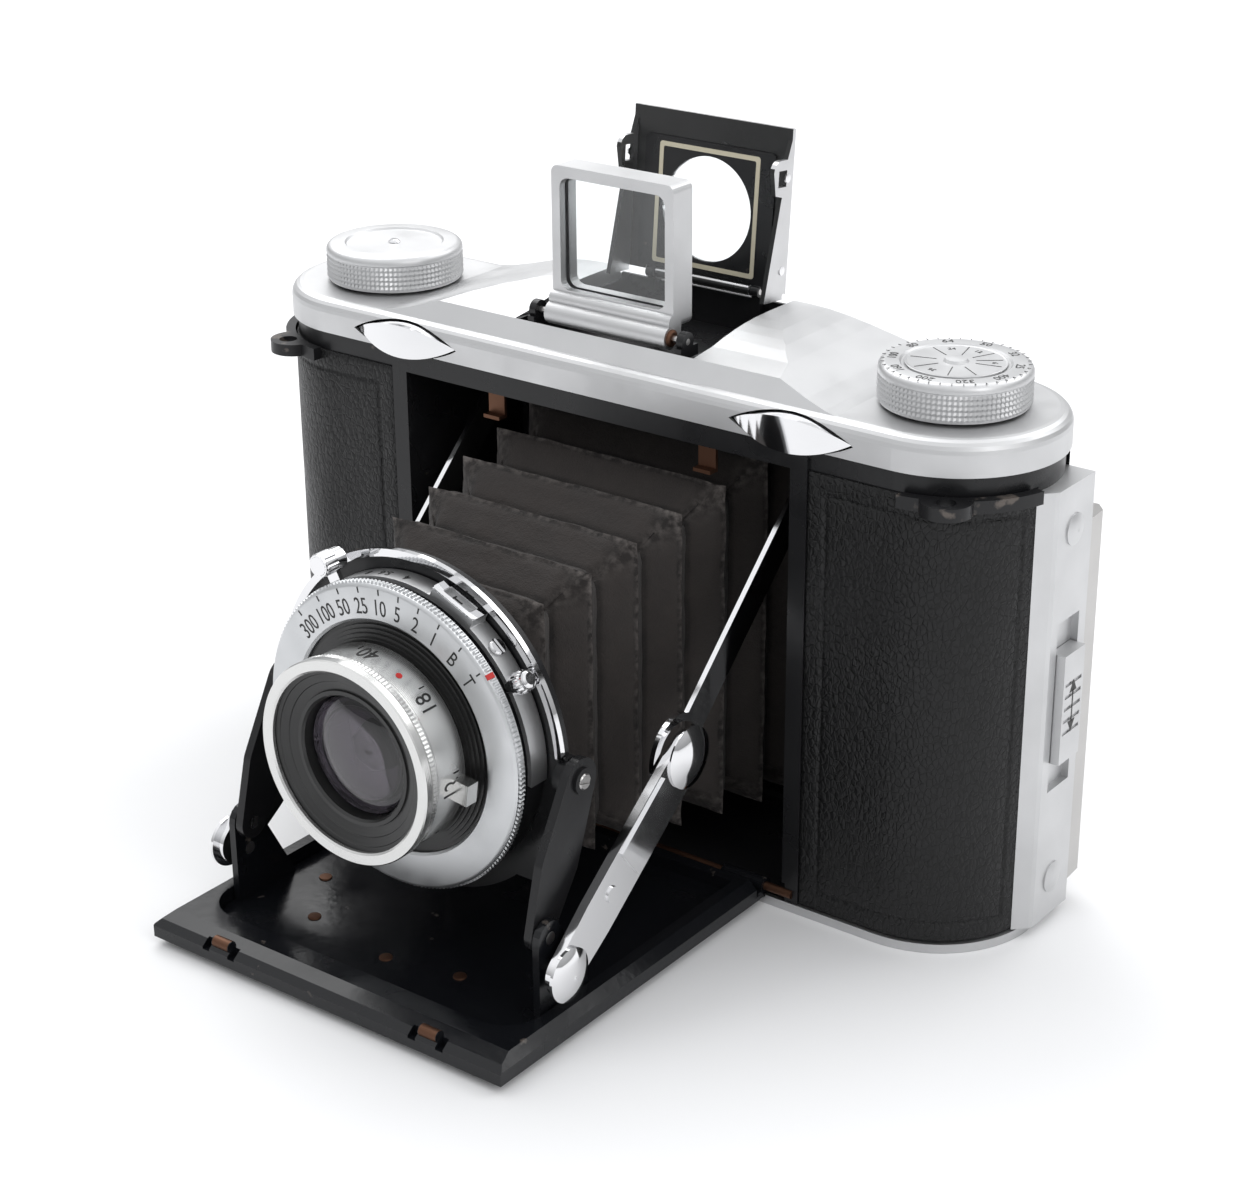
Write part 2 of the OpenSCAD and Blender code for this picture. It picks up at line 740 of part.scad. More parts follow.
// Plan of the tray's hollow, with rounded corners at its front
module pan_plan(grow) {
    r = pan_corner_r + grow;
    y0 = pan_y0 + pan_corner_r;
    polygon(concat(arc(-pan_hw + pan_corner_r, y0, r, 180, 270, 10),
        arc(pan_hw - pan_corner_r, y0, r, 270, 360, 10),
        [[pan_hw + grow, hinge_y - 4.6], [-pan_hw - grow, hinge_y - 4.6]]));
}

module front_door() {
    y1 = hinge_y - 1.7;
    color([0.07, 0.07, 0.08]) difference() {
        union() {
            // floor
            translate([-bed_w / 2, bed_y, bed_floor_z]) cube([bed_w, y1 - bed_y, bed_floor_t]);
            // raised rim with a sloping lip at the front and bevelled sides
            intersection() {
                translate([0, 0, bed_floor_z]) linear_extrude(rim_h + 1.7) difference() {
                    translate([-bed_w / 2, bed_y]) square([bed_w, bed_l - 2.7]);
                    pan_plan(gap);
                }
                yz(-bed_w / 2, bed_w / 2) polygon([[bed_y, bed_floor_z], [bed_y, hinge_z + 0.2],
                    [bed_y + 1.2, hinge_z + 1.1], [bed_y + 3.6, hinge_z + rim_h],
                    [y1, hinge_z + rim_h], [y1, bed_floor_z]]);
                xz(bed_y, y1) polygon([[-bed_w / 2, bed_floor_z], [-bed_w / 2, hinge_z + 0.4],
                    [-bed_w / 2 + 1.4, hinge_z + rim_h], [bed_w / 2 - 1.4, hinge_z + rim_h],
                    [bed_w / 2, hinge_z + 0.4], [bed_w / 2, bed_floor_z]]);
            }
            // rolled latch tabs
            for (s = [-1, 1]) rod(s * tab_x - 1.7, s * tab_x + 1.7,
                [bed_y + 1.3, hinge_z + 1.2], 0.9);
            // knuckles
            for (s = [-1, 1]) rod(s * knuckle_x - 4, s * knuckle_x + 4, [hinge_y, hinge_z], 1.3);
            for (s = [-1, 1]) translate([s * knuckle_x - 4, hinge_y - 2.2, bed_floor_z])
                cube([8, 1.6, 1.2]);
        }
        rod(-leather_x, leather_x, [hinge_y, hinge_z], hinge_r + run);
        // notches beside the latch tabs
        for (s = [-1, 1]) for (t = [-1, 1]) translate([s * tab_x + t * 2.6 - 0.7, bed_y - 1,
            hinge_z - 0.2]) cube([1.4, 2.6, 4]);
    }
}

module door_leather() {
    color([0.1, 0.1, 0.1]) translate([-bed_w / 2 + 1.5, bed_y + 1.5, bed_floor_z - 0.5])
        cube([bed_w - 3, bed_l - 5, 0.5]);
}

module door_pan() {
    color([0.09, 0.09, 0.1]) difference() {
        union() {
            translate([0, 0, bed_floor_z + bed_floor_t]) linear_extrude(pan_t) pan_plan(0);
            for (s = [-1, 1]) yz(s * (ear_x + ear_t / 2) - ear_t / 2,
                s * (ear_x + ear_t / 2) + ear_t / 2) polygon(concat([[hinge_y - link_p[0] - 2.7,
                bed_floor_z + bed_floor_t]], arc(hinge_y - link_p[0], hinge_z + link_p[1], 2.7,
                180, 50, 6), [[hinge_y - 41, hinge_z + 2.2], [hinge_y - 39.5,
                bed_floor_z + bed_floor_t]]));
        }
        rod(-40, 40, bed(link_p), ear_pin_r);
        rod(-40, 40, bed(strut_a), ear_pin_r);
    }
}

module door_hinge_rod() {
    color([0.45, 0.3, 0.2]) rod(-leather_x + 1, leather_x - 1, [hinge_y, hinge_z], hinge_r);
}

module door_hooks() {
    lip_z = hinge_z + bed_l + gap;
    color([0.4, 0.28, 0.2]) for (s = [-1, 1]) translate([s * tab_x - 1.6, front_y + 2.6, lip_z]) {
        cube([3.2, 0.6, open_z1 - lip_z]);
        // lip that reaches over the bed's rolled tab
        translate([0, -1.4, 0]) cube([3.2, 1.6, 0.6]);
    }
}

// ---------------------------------------------------------------- struts

module strut_lower(s) {
    a = bed(strut_a);
    k = bed(strut_k);
    run_l = norm(k - a);
    out = strut_x + strut_t;
    color("silver") mirror([s < 0 ? 1 : 0, 0, 0]) difference() {
        union() {
            yz(strut_x, out) hull() {
                translate(a) circle(strut_w / 2 - 0.6);
                translate(a + (k - a) * 0.25) circle(strut_w / 2);
                translate(k) circle(strut_w / 2);
            }
            // raised upper half and the rivet below it
            yz(out, out + 0.4) translate((a + k) / 2) rotate(atan2(k[1] - a[1], k[0] - a[0]))
                translate([0, -strut_w / 2 + 0.8]) square([run_l / 2 - cap_r - 0.6, strut_w - 1.6]);
            rod(out, out + 0.3, a + (k - a) * 0.36, 1.3);
        }
        rod(-open_w, open_w, a, ear_pin_r + run);
    }
}

module strut_lower_left() {
    strut_lower(-1);
}

module strut_lower_right() {
    strut_lower(1);
}

// Upper arm: a thin plate behind the lower strut, with an open hook round the knee
module strut_upper(s) {
    k = bed(strut_k);
    b = bed(arm_b);
    color("silver") mirror([s < 0 ? 1 : 0, 0, 0]) difference() {
        yz(arm_x, arm_x + arm_t) difference() {
            union() {
                bar(k, b, 2.6);
                translate(k) circle(hook_r + hook_t);
            }
            translate(k) circle(hook_r);
            // mouth of the hook
            translate(k + [2, -7]) square([7, 7], center = true);
        }
        rod(-open_w, open_w, b, stud_r + run);
    }
}

module strut_upper_left() {
    strut_upper(-1);
}

module strut_upper_right() {
    strut_upper(1);
}

// Domed caps on the lower pivots and on the knees
module strut_caps() {
    color("silver") for (s = [0, 1]) mirror([s, 0, 0]) {
        dome(strut_x + strut_t, bed(strut_a), cap_r - 0.7);
        dome(strut_x + strut_t, bed(strut_k), cap_r);
    }
}

module dome(x, p, r) {
    translate([x, p[0], p[1]]) rotate([0, 90, 0]) intersection() {
        cylinder(r = r, h = 1.6);
        translate([0, 0, -2 * r + 1.6]) sphere(r = 2 * r);
    }
}

// Pins on the bed and on the body that the struts turn on
module strut_pins() {
    color("silver") for (s = [0, 1]) mirror([s, 0, 0]) rod(arm_x, open_w / 2, bed(arm_b), stud_r);
}

// ---------------------------------------------------------------- lens standard

module link(s) {
    p = bed(link_p);
    q = bed(link_s);
    color([0.09, 0.09, 0.1]) mirror([s < 0 ? 1 : 0, 0, 0]) difference() {
        union() {
            yz(link_x, link_x + link_t) hull() {
                translate(p) circle(2.6);
                translate(p + (q - p) * 0.45) circle(4.4);
                translate(q) circle(3.4);
            }
            // eyelet round the standard's stud
            rod(link_x, link_x + link_t + 0.5, q, stud_r + 0.9);
        }
        rod(-open_w, open_w, p, ear_pin_r + run);
        rod(-open_w, open_w, q, stud_r + run);
    }
}

module link_left() {
    link(-1);
}

module link_right() {
    link(1);
}

// Short pins in the bed's ears that the links and the lower struts turn on
module ear_pins() {
    color([0.2, 0.2, 0.2]) for (s = [0, 1]) mirror([s, 0, 0]) {
        rod(link_x, ear_x + ear_t, bed(link_p), ear_pin_r);
        rod(ear_x, strut_x + strut_t, bed(strut_a), ear_pin_r);
    }
}

module standard_plate() {
    color([0.09, 0.09, 0.1]) {
        xz(std_y, std_y + std_t) difference() {
            union() {
                translate([0, lens_z]) circle(std_r);
                translate([-std_hw, lens_z - 20]) square([2 * std_hw, 20]);
            }
            translate([0, lens_z]) circle(tube_r + 0.4);
        }
        // side cheeks and studs that carry the links
        for (s = [0, 1]) mirror([s, 0, 0]) {
            yz(std_hw, std_hw + 1.4) {
                translate([std_y, lens_z - 10]) square([std_t, 12]);
                translate(bed(link_s)) circle(3);
            }
            rod(std_hw + 1, link_x + link_t + 0.3, bed(link_s), stud_r);
        }
    }
}

module standard_hoop() {
    color("silver") xz(std_y - 0.9, std_y) difference() {
        intersection() {
            translate([0, lens_z]) circle(std_r + 0.6);
            translate([-std_r - 1, bed(link_s)[1] + 3.2]) square([2 * std_r + 2, std_r + 2]);
        }
        translate([0, lens_z]) circle(std_r - 0.6);
    }
}

module shutter_case() {
    color([0.08, 0.08, 0.09]) {
        lathe(std_y) polygon([[6, 0], [case_r, 0], [case_r, band_l], [case_r - 1, band_l],
            [case_r - 1, case_l], [6, case_l]]);
        lathe(std_y + 7) polygon([[10, 0], [tube_r, 0], [tube_r, 7], [10, 7]]);
    }
}

// Band round the upper side of the shutter, with its window box and a screw
module shutter_band() {
    color("silver") {
        translate([0, std_y - 0.3, lens_z]) rotate([90, 5, 0]) rotate_extrude(angle = 145)
            translate([case_r, 0]) square([0.7, band_l - 0.4]);
        translate([0, std_y, lens_z]) rotate([0, 90 - 66, 0]) difference() {
            translate([-4, -band_l + 0.1, case_r]) cube([8, band_l - 0.5, 1.8]);
            translate([-2.6, -band_l + 0.8, case_r + 1]) cube([5.2, band_l - 1.9, 2]);
        }
        translate([0, std_y - band_l / 2, lens_z]) rotate([0, 90 - 46, 0])
            translate([0, 0, case_r]) cylinder(r = 1.3, h = 1.1);
    }
}

module flash_socket() {
    color("silver") difference() {
        translate([0, std_y - 2.6, lens_z]) rotate([0, -32, 0])
            translate([case_r, 0, 0]) rotate([0, 90, 0]) cylinder(r = 1.5, h = 3.6);
        lathe(std_y) square([case_r + 0.7, band_l]);
    }
}

module speed_ring() {
    y0 = std_y - case_l - 0.1;
    color([0.8, 0.8, 0.82]) intersection() {
        lathe(y0) polygon([[ring_in, 0], [shutter_r, 0], [shutter_r, ring_l - 0.6],
            [shutter_r - 0.7, ring_l], [ring_in + 1, ring_l - 0.1], [ring_in, ring_l - 0.7]]);
        // milled edge
        xz(y0 - ring_l - 1, y0 + 1) translate([0, lens_z]) polygon([for (i = [0:2 * teeth - 1])
            let (r = shutter_r + 0.02 - (i % 2) * tooth_t, a = 180 * i / teeth)
            [r * cos(a), r * sin(a)]]);
    }
}

module stepped_ring() {
    color([0.06, 0.06, 0.06]) lathe(std_y - case_l) polygon(concat([[15, 0], [ring_in - run, 0],
        [ring_in - run, 1.2]], [for (i = [0:3]) let (r = ring_in - 0.6 * (i + 1))
        each [[r, 1.2 + 0.35 * i], [r, 1.55 + 0.35 * i]]], [[15, 2.6]]));
}

module cocking_lever() {
    color("silver") translate([0, std_y, lens_z]) rotate([0, -28, 0]) {
        translate([-1.1, -case_l + 0.1, case_r - 0.8]) cube([2.2, 0.8, 5]);
        translate([0, -2.4, case_r + 3.9]) rotate([90, 0, 0]) cylinder(r = 1.7, h = 4.4);
    }
}

module focus_ring() {
    front = lens_l - case_l - 3.2;
    color("silver") {
        lathe(std_y - case_l) polygon([[focus_in, 0.2], [14.8, 0.2], [14.8, 2.8], [focus_out, 3.2],
            [focus_out, front], [focus_in, front]]);
        // infinity stop
        translate([0, std_y - case_l - 3.6, lens_z]) rotate([0, 98, 0])
            translate([-1.7, -2.2, focus_out - 0.4]) cube([3.4, 2.2, 3]);
    }
}

module lens_rim() {
    color("silver") lathe(std_y - lens_l + 3.1) polygon([[cone_out, 0], [rim_r - 0.3, 0],
        [rim_r, 0.3], [rim_r, 2.7], [rim_r - 0.4, 3.1], [cone_out + 0.4, 3.1], [cone_out, 2.8]]);
}

module name_cone() {
    color([0.05, 0.05, 0.05]) lathe(std_y - lens_l + 6) polygon([[glass_r, 0.6], [focus_in, 0.6],
        [focus_in, 3], [cone_out, 3], [cone_out, 5.4], [glass_r + 0.6, 2.6], [glass_r, 2.6]]);
}

module lens_glass() {
    color([0.6, 0.6, 0.7, 0.4]) translate([0, std_y - lens_l + 5, lens_z]) rotate([90, 0, 0])
        intersection() {
            cylinder(r = glass_r, h = 4);
            translate([0, 0, -21]) sphere(r = 24);
        }
}

// Long outline about its first axis, from y1 to y0 and a little past both
module taper(y0, y1, h0, h1) {
    polygon([[y0 + 1, h0], [y1 - 1, h1], [y1 - 1, -h1], [y0 + 1, -h0]]);
}

// Folded cloth bellows between the film gate and the lens standard
module bellows() {
    n = 6;
    y0 = gate_y - 0.4;
    y1 = std_y + std_t + 0.4;
    a0 = [31, 33];
    a1 = [20, 20.5];
    dip = 2.2;
    wall = 1.2 + dip;
    outline = [for (side = [0, 1]) for (i = [0:2 * n]) let (j = side == 0 ? i : 2 * n - i,
        t = j / (2 * n), o = j % 2 == 0 ? dip : 0, y = y0 + (y1 - y0) * t)
        [y, (side == 0 ? 1 : -1) * (a0[1] + (a1[1] - a0[1]) * t - o)]];
    plan = [for (side = [0, 1]) for (i = [0:2 * n]) let (j = side == 0 ? i : 2 * n - i,
        t = j / (2 * n), o = j % 2 == 0 ? dip : 0, y = y0 + (y1 - y0) * t)
        [(side == 0 ? 1 : -1) * (a0[0] + (a1[0] - a0[0]) * t - o), y]];
    color([0.2, 0.19, 0.18]) difference() {
        intersection() {
            yz(-open_w / 2, open_w / 2) translate([0, lens_z]) polygon(outline);
            linear_extrude(open_z1) polygon(plan);
        }
        // the light path inside
        intersection() {
            yz(-open_w / 2, open_w / 2) translate([0, lens_z]) taper(y0, y1, a0[1] - wall,
                a1[1] - wall);
            linear_extrude(open_z1) rotate(90) mirror([0, 1]) taper(y0, y1, a0[0] - wall,
                a1[0] - wall);
        }
        // room for the rear tube of the shutter
        lathe(std_y + 9) square([tube_r + 1.4, 9]);
    }
}

body_shell();
film_gate();
base_plate();
tripod_bush();
leather_left();
leather_right();
top_cover();
strap_lugs();
latch_plate();
latch_rivets();
latch_slider();
back_door();
back_leather();
back_catch();
back_hinge_pin();
pressure_plate();
pressure_spring();
red_window();
window_cover();
film_rollers();
takeup_spool();
feed_spool();
wind_knob();
feed_knob();
reminder_disc();
release_button();
door_button();
finder_well();
finder_pins();
finder_front_frame();
finder_front_glass();
finder_rear_panel();
finder_eye_lens();
front_door();
door_leather();
door_pan();
door_hinge_rod();
door_hooks();
strut_lower_left();
strut_lower_right();
strut_upper_left();
strut_upper_right();
strut_caps();
strut_pins();
link_left();
link_right();
ear_pins();
standard_plate();
standard_hoop();
shutter_case();
shutter_band();
flash_socket();
speed_ring();
stepped_ring();
cocking_lever();
focus_ring();
lens_rim();
name_cone();
lens_glass();
bellows();
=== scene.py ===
"""Looks of a self-erecting folding roll-film camera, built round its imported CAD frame."""

import json
import math

import bmesh
import bpy
from mathutils import Matrix, Vector, noise


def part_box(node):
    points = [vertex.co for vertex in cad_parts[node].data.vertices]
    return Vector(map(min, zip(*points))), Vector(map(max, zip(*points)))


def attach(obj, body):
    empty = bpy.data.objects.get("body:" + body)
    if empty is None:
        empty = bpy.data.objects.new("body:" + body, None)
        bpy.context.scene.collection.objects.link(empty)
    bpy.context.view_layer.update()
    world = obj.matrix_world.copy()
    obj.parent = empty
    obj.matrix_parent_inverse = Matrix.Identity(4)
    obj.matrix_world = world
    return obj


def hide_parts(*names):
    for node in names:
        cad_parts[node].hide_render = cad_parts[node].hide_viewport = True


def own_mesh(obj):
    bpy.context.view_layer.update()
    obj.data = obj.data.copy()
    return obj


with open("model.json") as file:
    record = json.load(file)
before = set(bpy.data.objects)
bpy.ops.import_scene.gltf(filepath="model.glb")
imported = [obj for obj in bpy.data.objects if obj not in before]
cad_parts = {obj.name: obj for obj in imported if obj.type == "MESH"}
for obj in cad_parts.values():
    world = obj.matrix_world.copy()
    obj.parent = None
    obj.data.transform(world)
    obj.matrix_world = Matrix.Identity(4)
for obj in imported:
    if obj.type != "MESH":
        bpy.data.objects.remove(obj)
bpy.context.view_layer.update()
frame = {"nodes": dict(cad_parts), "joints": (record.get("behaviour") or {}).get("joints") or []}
nodes = frame["nodes"]
MM = 0.001


def span(name):
    """Lowest and highest corner of a CAD node, as vectors."""
    low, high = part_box(name)
    return Vector(low), Vector(high)


def joint_place(name):
    """A point on the axis of a CAD joint."""
    return next(joint["pos_m"] for joint in frame["joints"] if joint["name"] == name)


# ---------------------------------------------------------------- places taken from the frame

RIM_LOW, RIM_HIGH = span("lens_rim")
RING_LOW, RING_HIGH = span("speed_ring")
BARREL_HIGH = span("focus_ring")[1]
BAND_LOW, BAND_HIGH = span("shutter_band")
PANEL_HIGH = span("finder_rear_panel")[1]
LENS_Z = (RIM_LOW.z + RIM_HIGH.z) / 2
RING_R = (RING_HIGH.x - RING_LOW.x) / 2
SPOOL_X = sum(v.x for v in span("takeup_spool")) / 2


# ---------------------------------------------------------------- shader helpers

def node(mat, kind, ins=None, **attrs):
    """Adds a shader node; a value in ins is linked when it is a socket and set when it isn't."""
    made = mat.node_tree.nodes.new(kind)
    for key, value in attrs.items():
        setattr(made, key, value)
    for key, value in (ins or {}).items():
        if isinstance(value, bpy.types.NodeSocket):
            mat.node_tree.links.new(value, made.inputs[key])
        else:
            made.inputs[key].default_value = value
    return made


def coords(mat, stretch=(1, 1, 1)):
    place = node(mat, "ShaderNodeTexCoord").outputs["Object"]
    return node(mat, "ShaderNodeMapping", {"Vector": place, "Scale": stretch}).outputs["Vector"]


def clouds(mat, scale, detail=3.0, stretch=(1, 1, 1)):
    return node(mat, "ShaderNodeTexNoise", {"Vector": coords(mat, stretch), "Scale": scale,
                                            "Detail": detail}).outputs["Fac"]


def cells(mat, scale, feature="F1", stretch=(1, 1, 1)):
    return node(mat, "ShaderNodeTexVoronoi", {"Vector": coords(mat, stretch), "Scale": scale},
                feature=feature).outputs["Distance"]


def remap(mat, value, low, high, to_low=0.0, to_high=1.0):
    return node(mat, "ShaderNodeMapRange", {"Value": value, "From Min": low, "From Max": high,
                                            "To Min": to_low, "To Max": to_high}).outputs["Result"]


def mix(mat, fac, first, second):
    made = node(mat, "ShaderNodeMix", data_type="RGBA")
    for key, value in ((0, fac), (6, first), (7, second)):
        if isinstance(value, bpy.types.NodeSocket):
            mat.node_tree.links.new(value, made.inputs[key])
        else:
            made.inputs[key].default_value = value if key == 0 else (*value, 1)
    return made.outputs[2]


def maths(mat, operation, first, second):
    return node(mat, "ShaderNodeMath", {0: first, 1: second}, operation=operation).outputs[0]


def bump(mat, height, depth, normal=None):
    ins = {"Height": height, "Distance": depth, "Strength": 1.0}
    if normal is not None:
        ins["Normal"] = normal
    return node(mat, "ShaderNodeBump", ins).outputs["Normal"]


def shader(name, color, rough, metallic=0.0, **more):
    """A principled material; every value is a constant or a socket of its own tree."""
    mat = bpy.data.materials.new(name)
    mat.use_nodes = True
    feed(mat, {"Base Color": (*color, 1), "Roughness": rough, "Metallic": metallic, **more})
    return mat


def feed(mat, ins):
    target = mat.node_tree.nodes["Principled BSDF"]
    for key, value in ins.items():
        if isinstance(value, bpy.types.NodeSocket):
            mat.node_tree.links.new(value, target.inputs[key])
        else:
            target.inputs[key].default_value = value


# ---------------------------------------------------------------- materials

def enamel(name, color=(0.010, 0.010, 0.011), wear=0.0, rough=0.26):
    """Stoved black enamel with a faint ripple and, with wear, dull specks where it has rubbed."""
    mat = shader(name, color, rough, **{"Specular IOR Level": 0.34})
    spots = remap(mat, clouds(mat, 260, 5), 0.72 - 0.22 * wear, 0.78 - 0.22 * wear)
    feed(mat, {
        "Base Color": mix(mat, spots, color, (0.10, 0.085, 0.075)),
        "Roughness": remap(mat, clouds(mat, 90, 4), 0.3, 0.7, rough - 0.06, rough + 0.14),
        "Normal": bump(mat, clouds(mat, 700, 2), 0.00002),
    })
    return mat


def chrome(name, color, rough, grain):
    """Chrome plate: rough is its mean roughness, grain the depth of its fine satin finish."""
    mat = shader(name, color, rough, 1.0)
    smear = clouds(mat, 120, 4)
    feed(mat, {
        "Base Color": mix(mat, remap(mat, clouds(mat, 45, 5), 0.35, 0.7), color,
                          tuple(0.93 * c for c in color)),
        "Roughness": remap(mat, smear, 0.3, 0.7, rough * 0.85, rough * 1.25),
        "Normal": bump(mat, clouds(mat, 9000, 2), grain),
    })
    return mat


def leather(name):
    """Fine pebbled black leather, drawn a little along Z, with shallow creases painted darker as
    painted shade.
    """
    mat = shader(name, (0.005, 0.005, 0.0055), 0.42, **{"Specular IOR Level": 0.32})
    pebble = cells(mat, 1500, "SMOOTH_F1", (1, 1, 0.72))
    crease = cells(mat, 1250, "DISTANCE_TO_EDGE", (1, 1, 0.6))
    low_crease = remap(mat, crease, 0.0, 0.14)
    height = maths(mat, "ADD", maths(mat, "MULTIPLY", pebble, -1.0),
                   maths(mat, "MULTIPLY", low_crease, 0.4))
    feed(mat, {
        # painted shade: the crease grooves get a darker base colour than the pebbles
        "Base Color": mix(mat, low_crease, (0.003, 0.003, 0.003), (0.007, 0.007, 0.0075)),
        "Roughness": remap(mat, clouds(mat, 60, 4), 0.3, 0.7, 0.36, 0.5),
        "Normal": bump(mat, height, 0.00018, bump(mat, clouds(mat, 300, 3), 0.0001)),
    })
    return mat


def cloth(name):
    """Rubberised bellows cloth: dusty panels, pale worn folds and a fine weave."""
    mat = shader(name, (0.03, 0.027, 0.025), 0.7, **{"Specular IOR Level": 0.15, "Sheen Weight": 0.05,
                                                       "Sheen Roughness": 0.6})
    worn = node(mat, "ShaderNodeAttribute", attribute_name="worn").outputs["Fac"]
    panel = node(mat, "ShaderNodeAttribute", attribute_name="panel").outputs["Fac"]
    dust = remap(mat, clouds(mat, 190, 6), 0.3, 0.75)
    base = mix(mat, panel, (0.010, 0.009, 0.0088), (0.031, 0.027, 0.0255))
    dusty = mix(mat, maths(mat, "MULTIPLY", dust, 0.55), base, (0.050, 0.043, 0.040))
    rubbed = maths(mat, "MULTIPLY", worn, remap(mat, clouds(mat, 800, 4), 0.4, 0.65))
    weave = cells(mat, 3400, "F1", (1, 1.3, 1))
    feed(mat, {
        "Base Color": mix(mat, rubbed, dusty, (0.125, 0.112, 0.105)),
        "Roughness": remap(mat, dust, 0, 1, 0.62, 0.85),
        "Normal": bump(mat, weave, 0.00005, bump(mat, clouds(mat, 900, 5), 0.00016)),
    })
    return mat


def turned(name, color, rough, metallic, pitch, depth):
    """Metal turned on a lathe about the lens axis, with fine concentric tool marks."""
    mat = shader(name, color, rough, metallic)
    place = node(mat, "ShaderNodeSeparateXYZ", {0: coords(mat)}).outputs
    up = maths(mat, "SUBTRACT", place["Z"], LENS_Z)
    square = maths(mat, "ADD", maths(mat, "MULTIPLY", place["X"], place["X"]),
                   maths(mat, "MULTIPLY", up, up))
    radius = maths(mat, "SQRT", square, 0.0)
    along = maths(mat, "ADD", radius, place["Y"])
    mark = maths(mat, "SINE", maths(mat, "MULTIPLY", along, 2 * math.pi / pitch), 0.0)
    feed(mat, {
        "Roughness": remap(mat, clouds(mat, 200, 4), 0.3, 0.7, rough * 0.8, rough * 1.2),
        "Normal": bump(mat, mark, depth, bump(mat, clouds(mat, 5000, 2), 0.000004)),
    })
    return mat


def glass(name, tint, ior=1.5):
    mat = shader(name, tint, 0.02, **{"Transmission Weight": 1.0, "IOR": ior})
    feed(mat, {"Roughness": remap(mat, clouds(mat, 150, 4), 0.55, 0.8, 0.01, 0.05)})
    return mat


def two_sided(name, dark, bright):
    """Panel that is black on the side that faces forward and satin chrome elsewhere."""
    mat = shader(name, dark, 0.4)
    facing = node(mat, "ShaderNodeSeparateXYZ",
                  {0: node(mat, "ShaderNodeTexCoord").outputs["Normal"]}).outputs["Y"]
    front = remap(mat, facing, -0.8, -0.85)
    smear = clouds(mat, 240, 5)
    feed(mat, {
        "Base Color": mix(mat, front, bright, dark),
        "Metallic": remap(mat, front, 0, 1, 1.0, 0.0),
        "Roughness": remap(mat, smear, 0.3, 0.7, 0.27, 0.42),
        "Normal": bump(mat, clouds(mat, 2500, 3), 0.00001),
    })
    return mat


def shade_painted_plate(name, bright):
    """Polished plate whose face towards the middle of the camera is painted black as painted shade."""
    mat = shader(name, bright, 0.06, 1.0)
    place = node(mat, "ShaderNodeTexCoord").outputs
    across = node(mat, "ShaderNodeSeparateXYZ", {0: place["Normal"]}).outputs["X"]
    side = maths(mat, "SIGN", node(mat, "ShaderNodeSeparateXYZ", {0: place["Object"]}).outputs["X"],
                 0.0)
    # mask of the faces turned towards the middle of the camera, where the painted shade goes
    inner = remap(mat, maths(mat, "MULTIPLY", across, side), -0.8, -0.9)
    smear = clouds(mat, 140, 4)
    feed(mat, {
        # painted shade: the inner faces are made black and non-metallic
        "Base Color": mix(mat, inner, bright, (0.010, 0.010, 0.010)),
        "Metallic": remap(mat, inner, 0, 1, 1.0, 0.0),
        "Roughness": remap(mat, maths(mat, "ADD", smear, inner), 0.3, 1.5, 0.05, 0.4),
    })
    return mat


def paint(name, color, rough=0.5):
    mat = shader(name, color, rough)
    feed(mat, {"Roughness": remap(mat, clouds(mat, 900, 3), 0.3, 0.7, rough - 0.1, rough + 0.1)})
    return mat


ENAMEL = enamel("black_enamel")
WORN_ENAMEL = enamel("worn_enamel", wear=0.75, rough=0.3)
BED_ENAMEL = enamel("bed_enamel", (0.006, 0.0065, 0.008), 0.12, 0.16)
SATIN = chrome("satin_chrome", (0.62, 0.622, 0.627), 0.43, 0.0000022)
BRIGHT = chrome("bright_chrome", (0.80, 0.80, 0.81), 0.06, 0.0000001)
LEATHER = leather("leather")
CLOTH = cloth("bellows_cloth")
DIAL = turned("dial_chrome", (0.60, 0.61, 0.62), 0.38, 1.0, 0.00022, 0.0000012)
BARREL = turned("turned_aluminium", (0.68, 0.68, 0.67), 0.24, 1.0, 0.0003, 0.0000015)
ANODISED = turned("black_anodised", (0.012, 0.012, 0.012), 0.34, 0.0, 0.0004, 0.000002)
STEEL = chrome("steel", (0.50, 0.49, 0.48), 0.3, 0.000001)
RUST_BRASS = chrome("worn_brass", (0.135, 0.070, 0.045), 0.5, 0.000003)
BRASS = chrome("brass", (0.72, 0.60, 0.36), 0.28, 0.000001)
WINDOW_GLASS = glass("finder_glass", (0.93, 0.955, 0.96))
LENS_GLASS = glass("lens_glass", (0.52, 0.46, 0.56), 1.62)
RED_CLEAR = glass("red_celluloid", (0.55, 0.02, 0.02))
STRUT = shade_painted_plate("strut_chrome", (0.80, 0.80, 0.81))
IRIS = chrome("iris_steel", (0.09, 0.085, 0.085), 0.4, 0.000001)
PANEL = two_sided("finder_panel_finish", (0.010, 0.010, 0.010), (0.60, 0.60, 0.605))
BLACK_PAINT = paint("black_figures", (0.010, 0.010, 0.010))
RED_PAINT = paint("red_figures", (0.45, 0.015, 0.012))
CREAM = paint("cream_paint", (0.62, 0.57, 0.43))

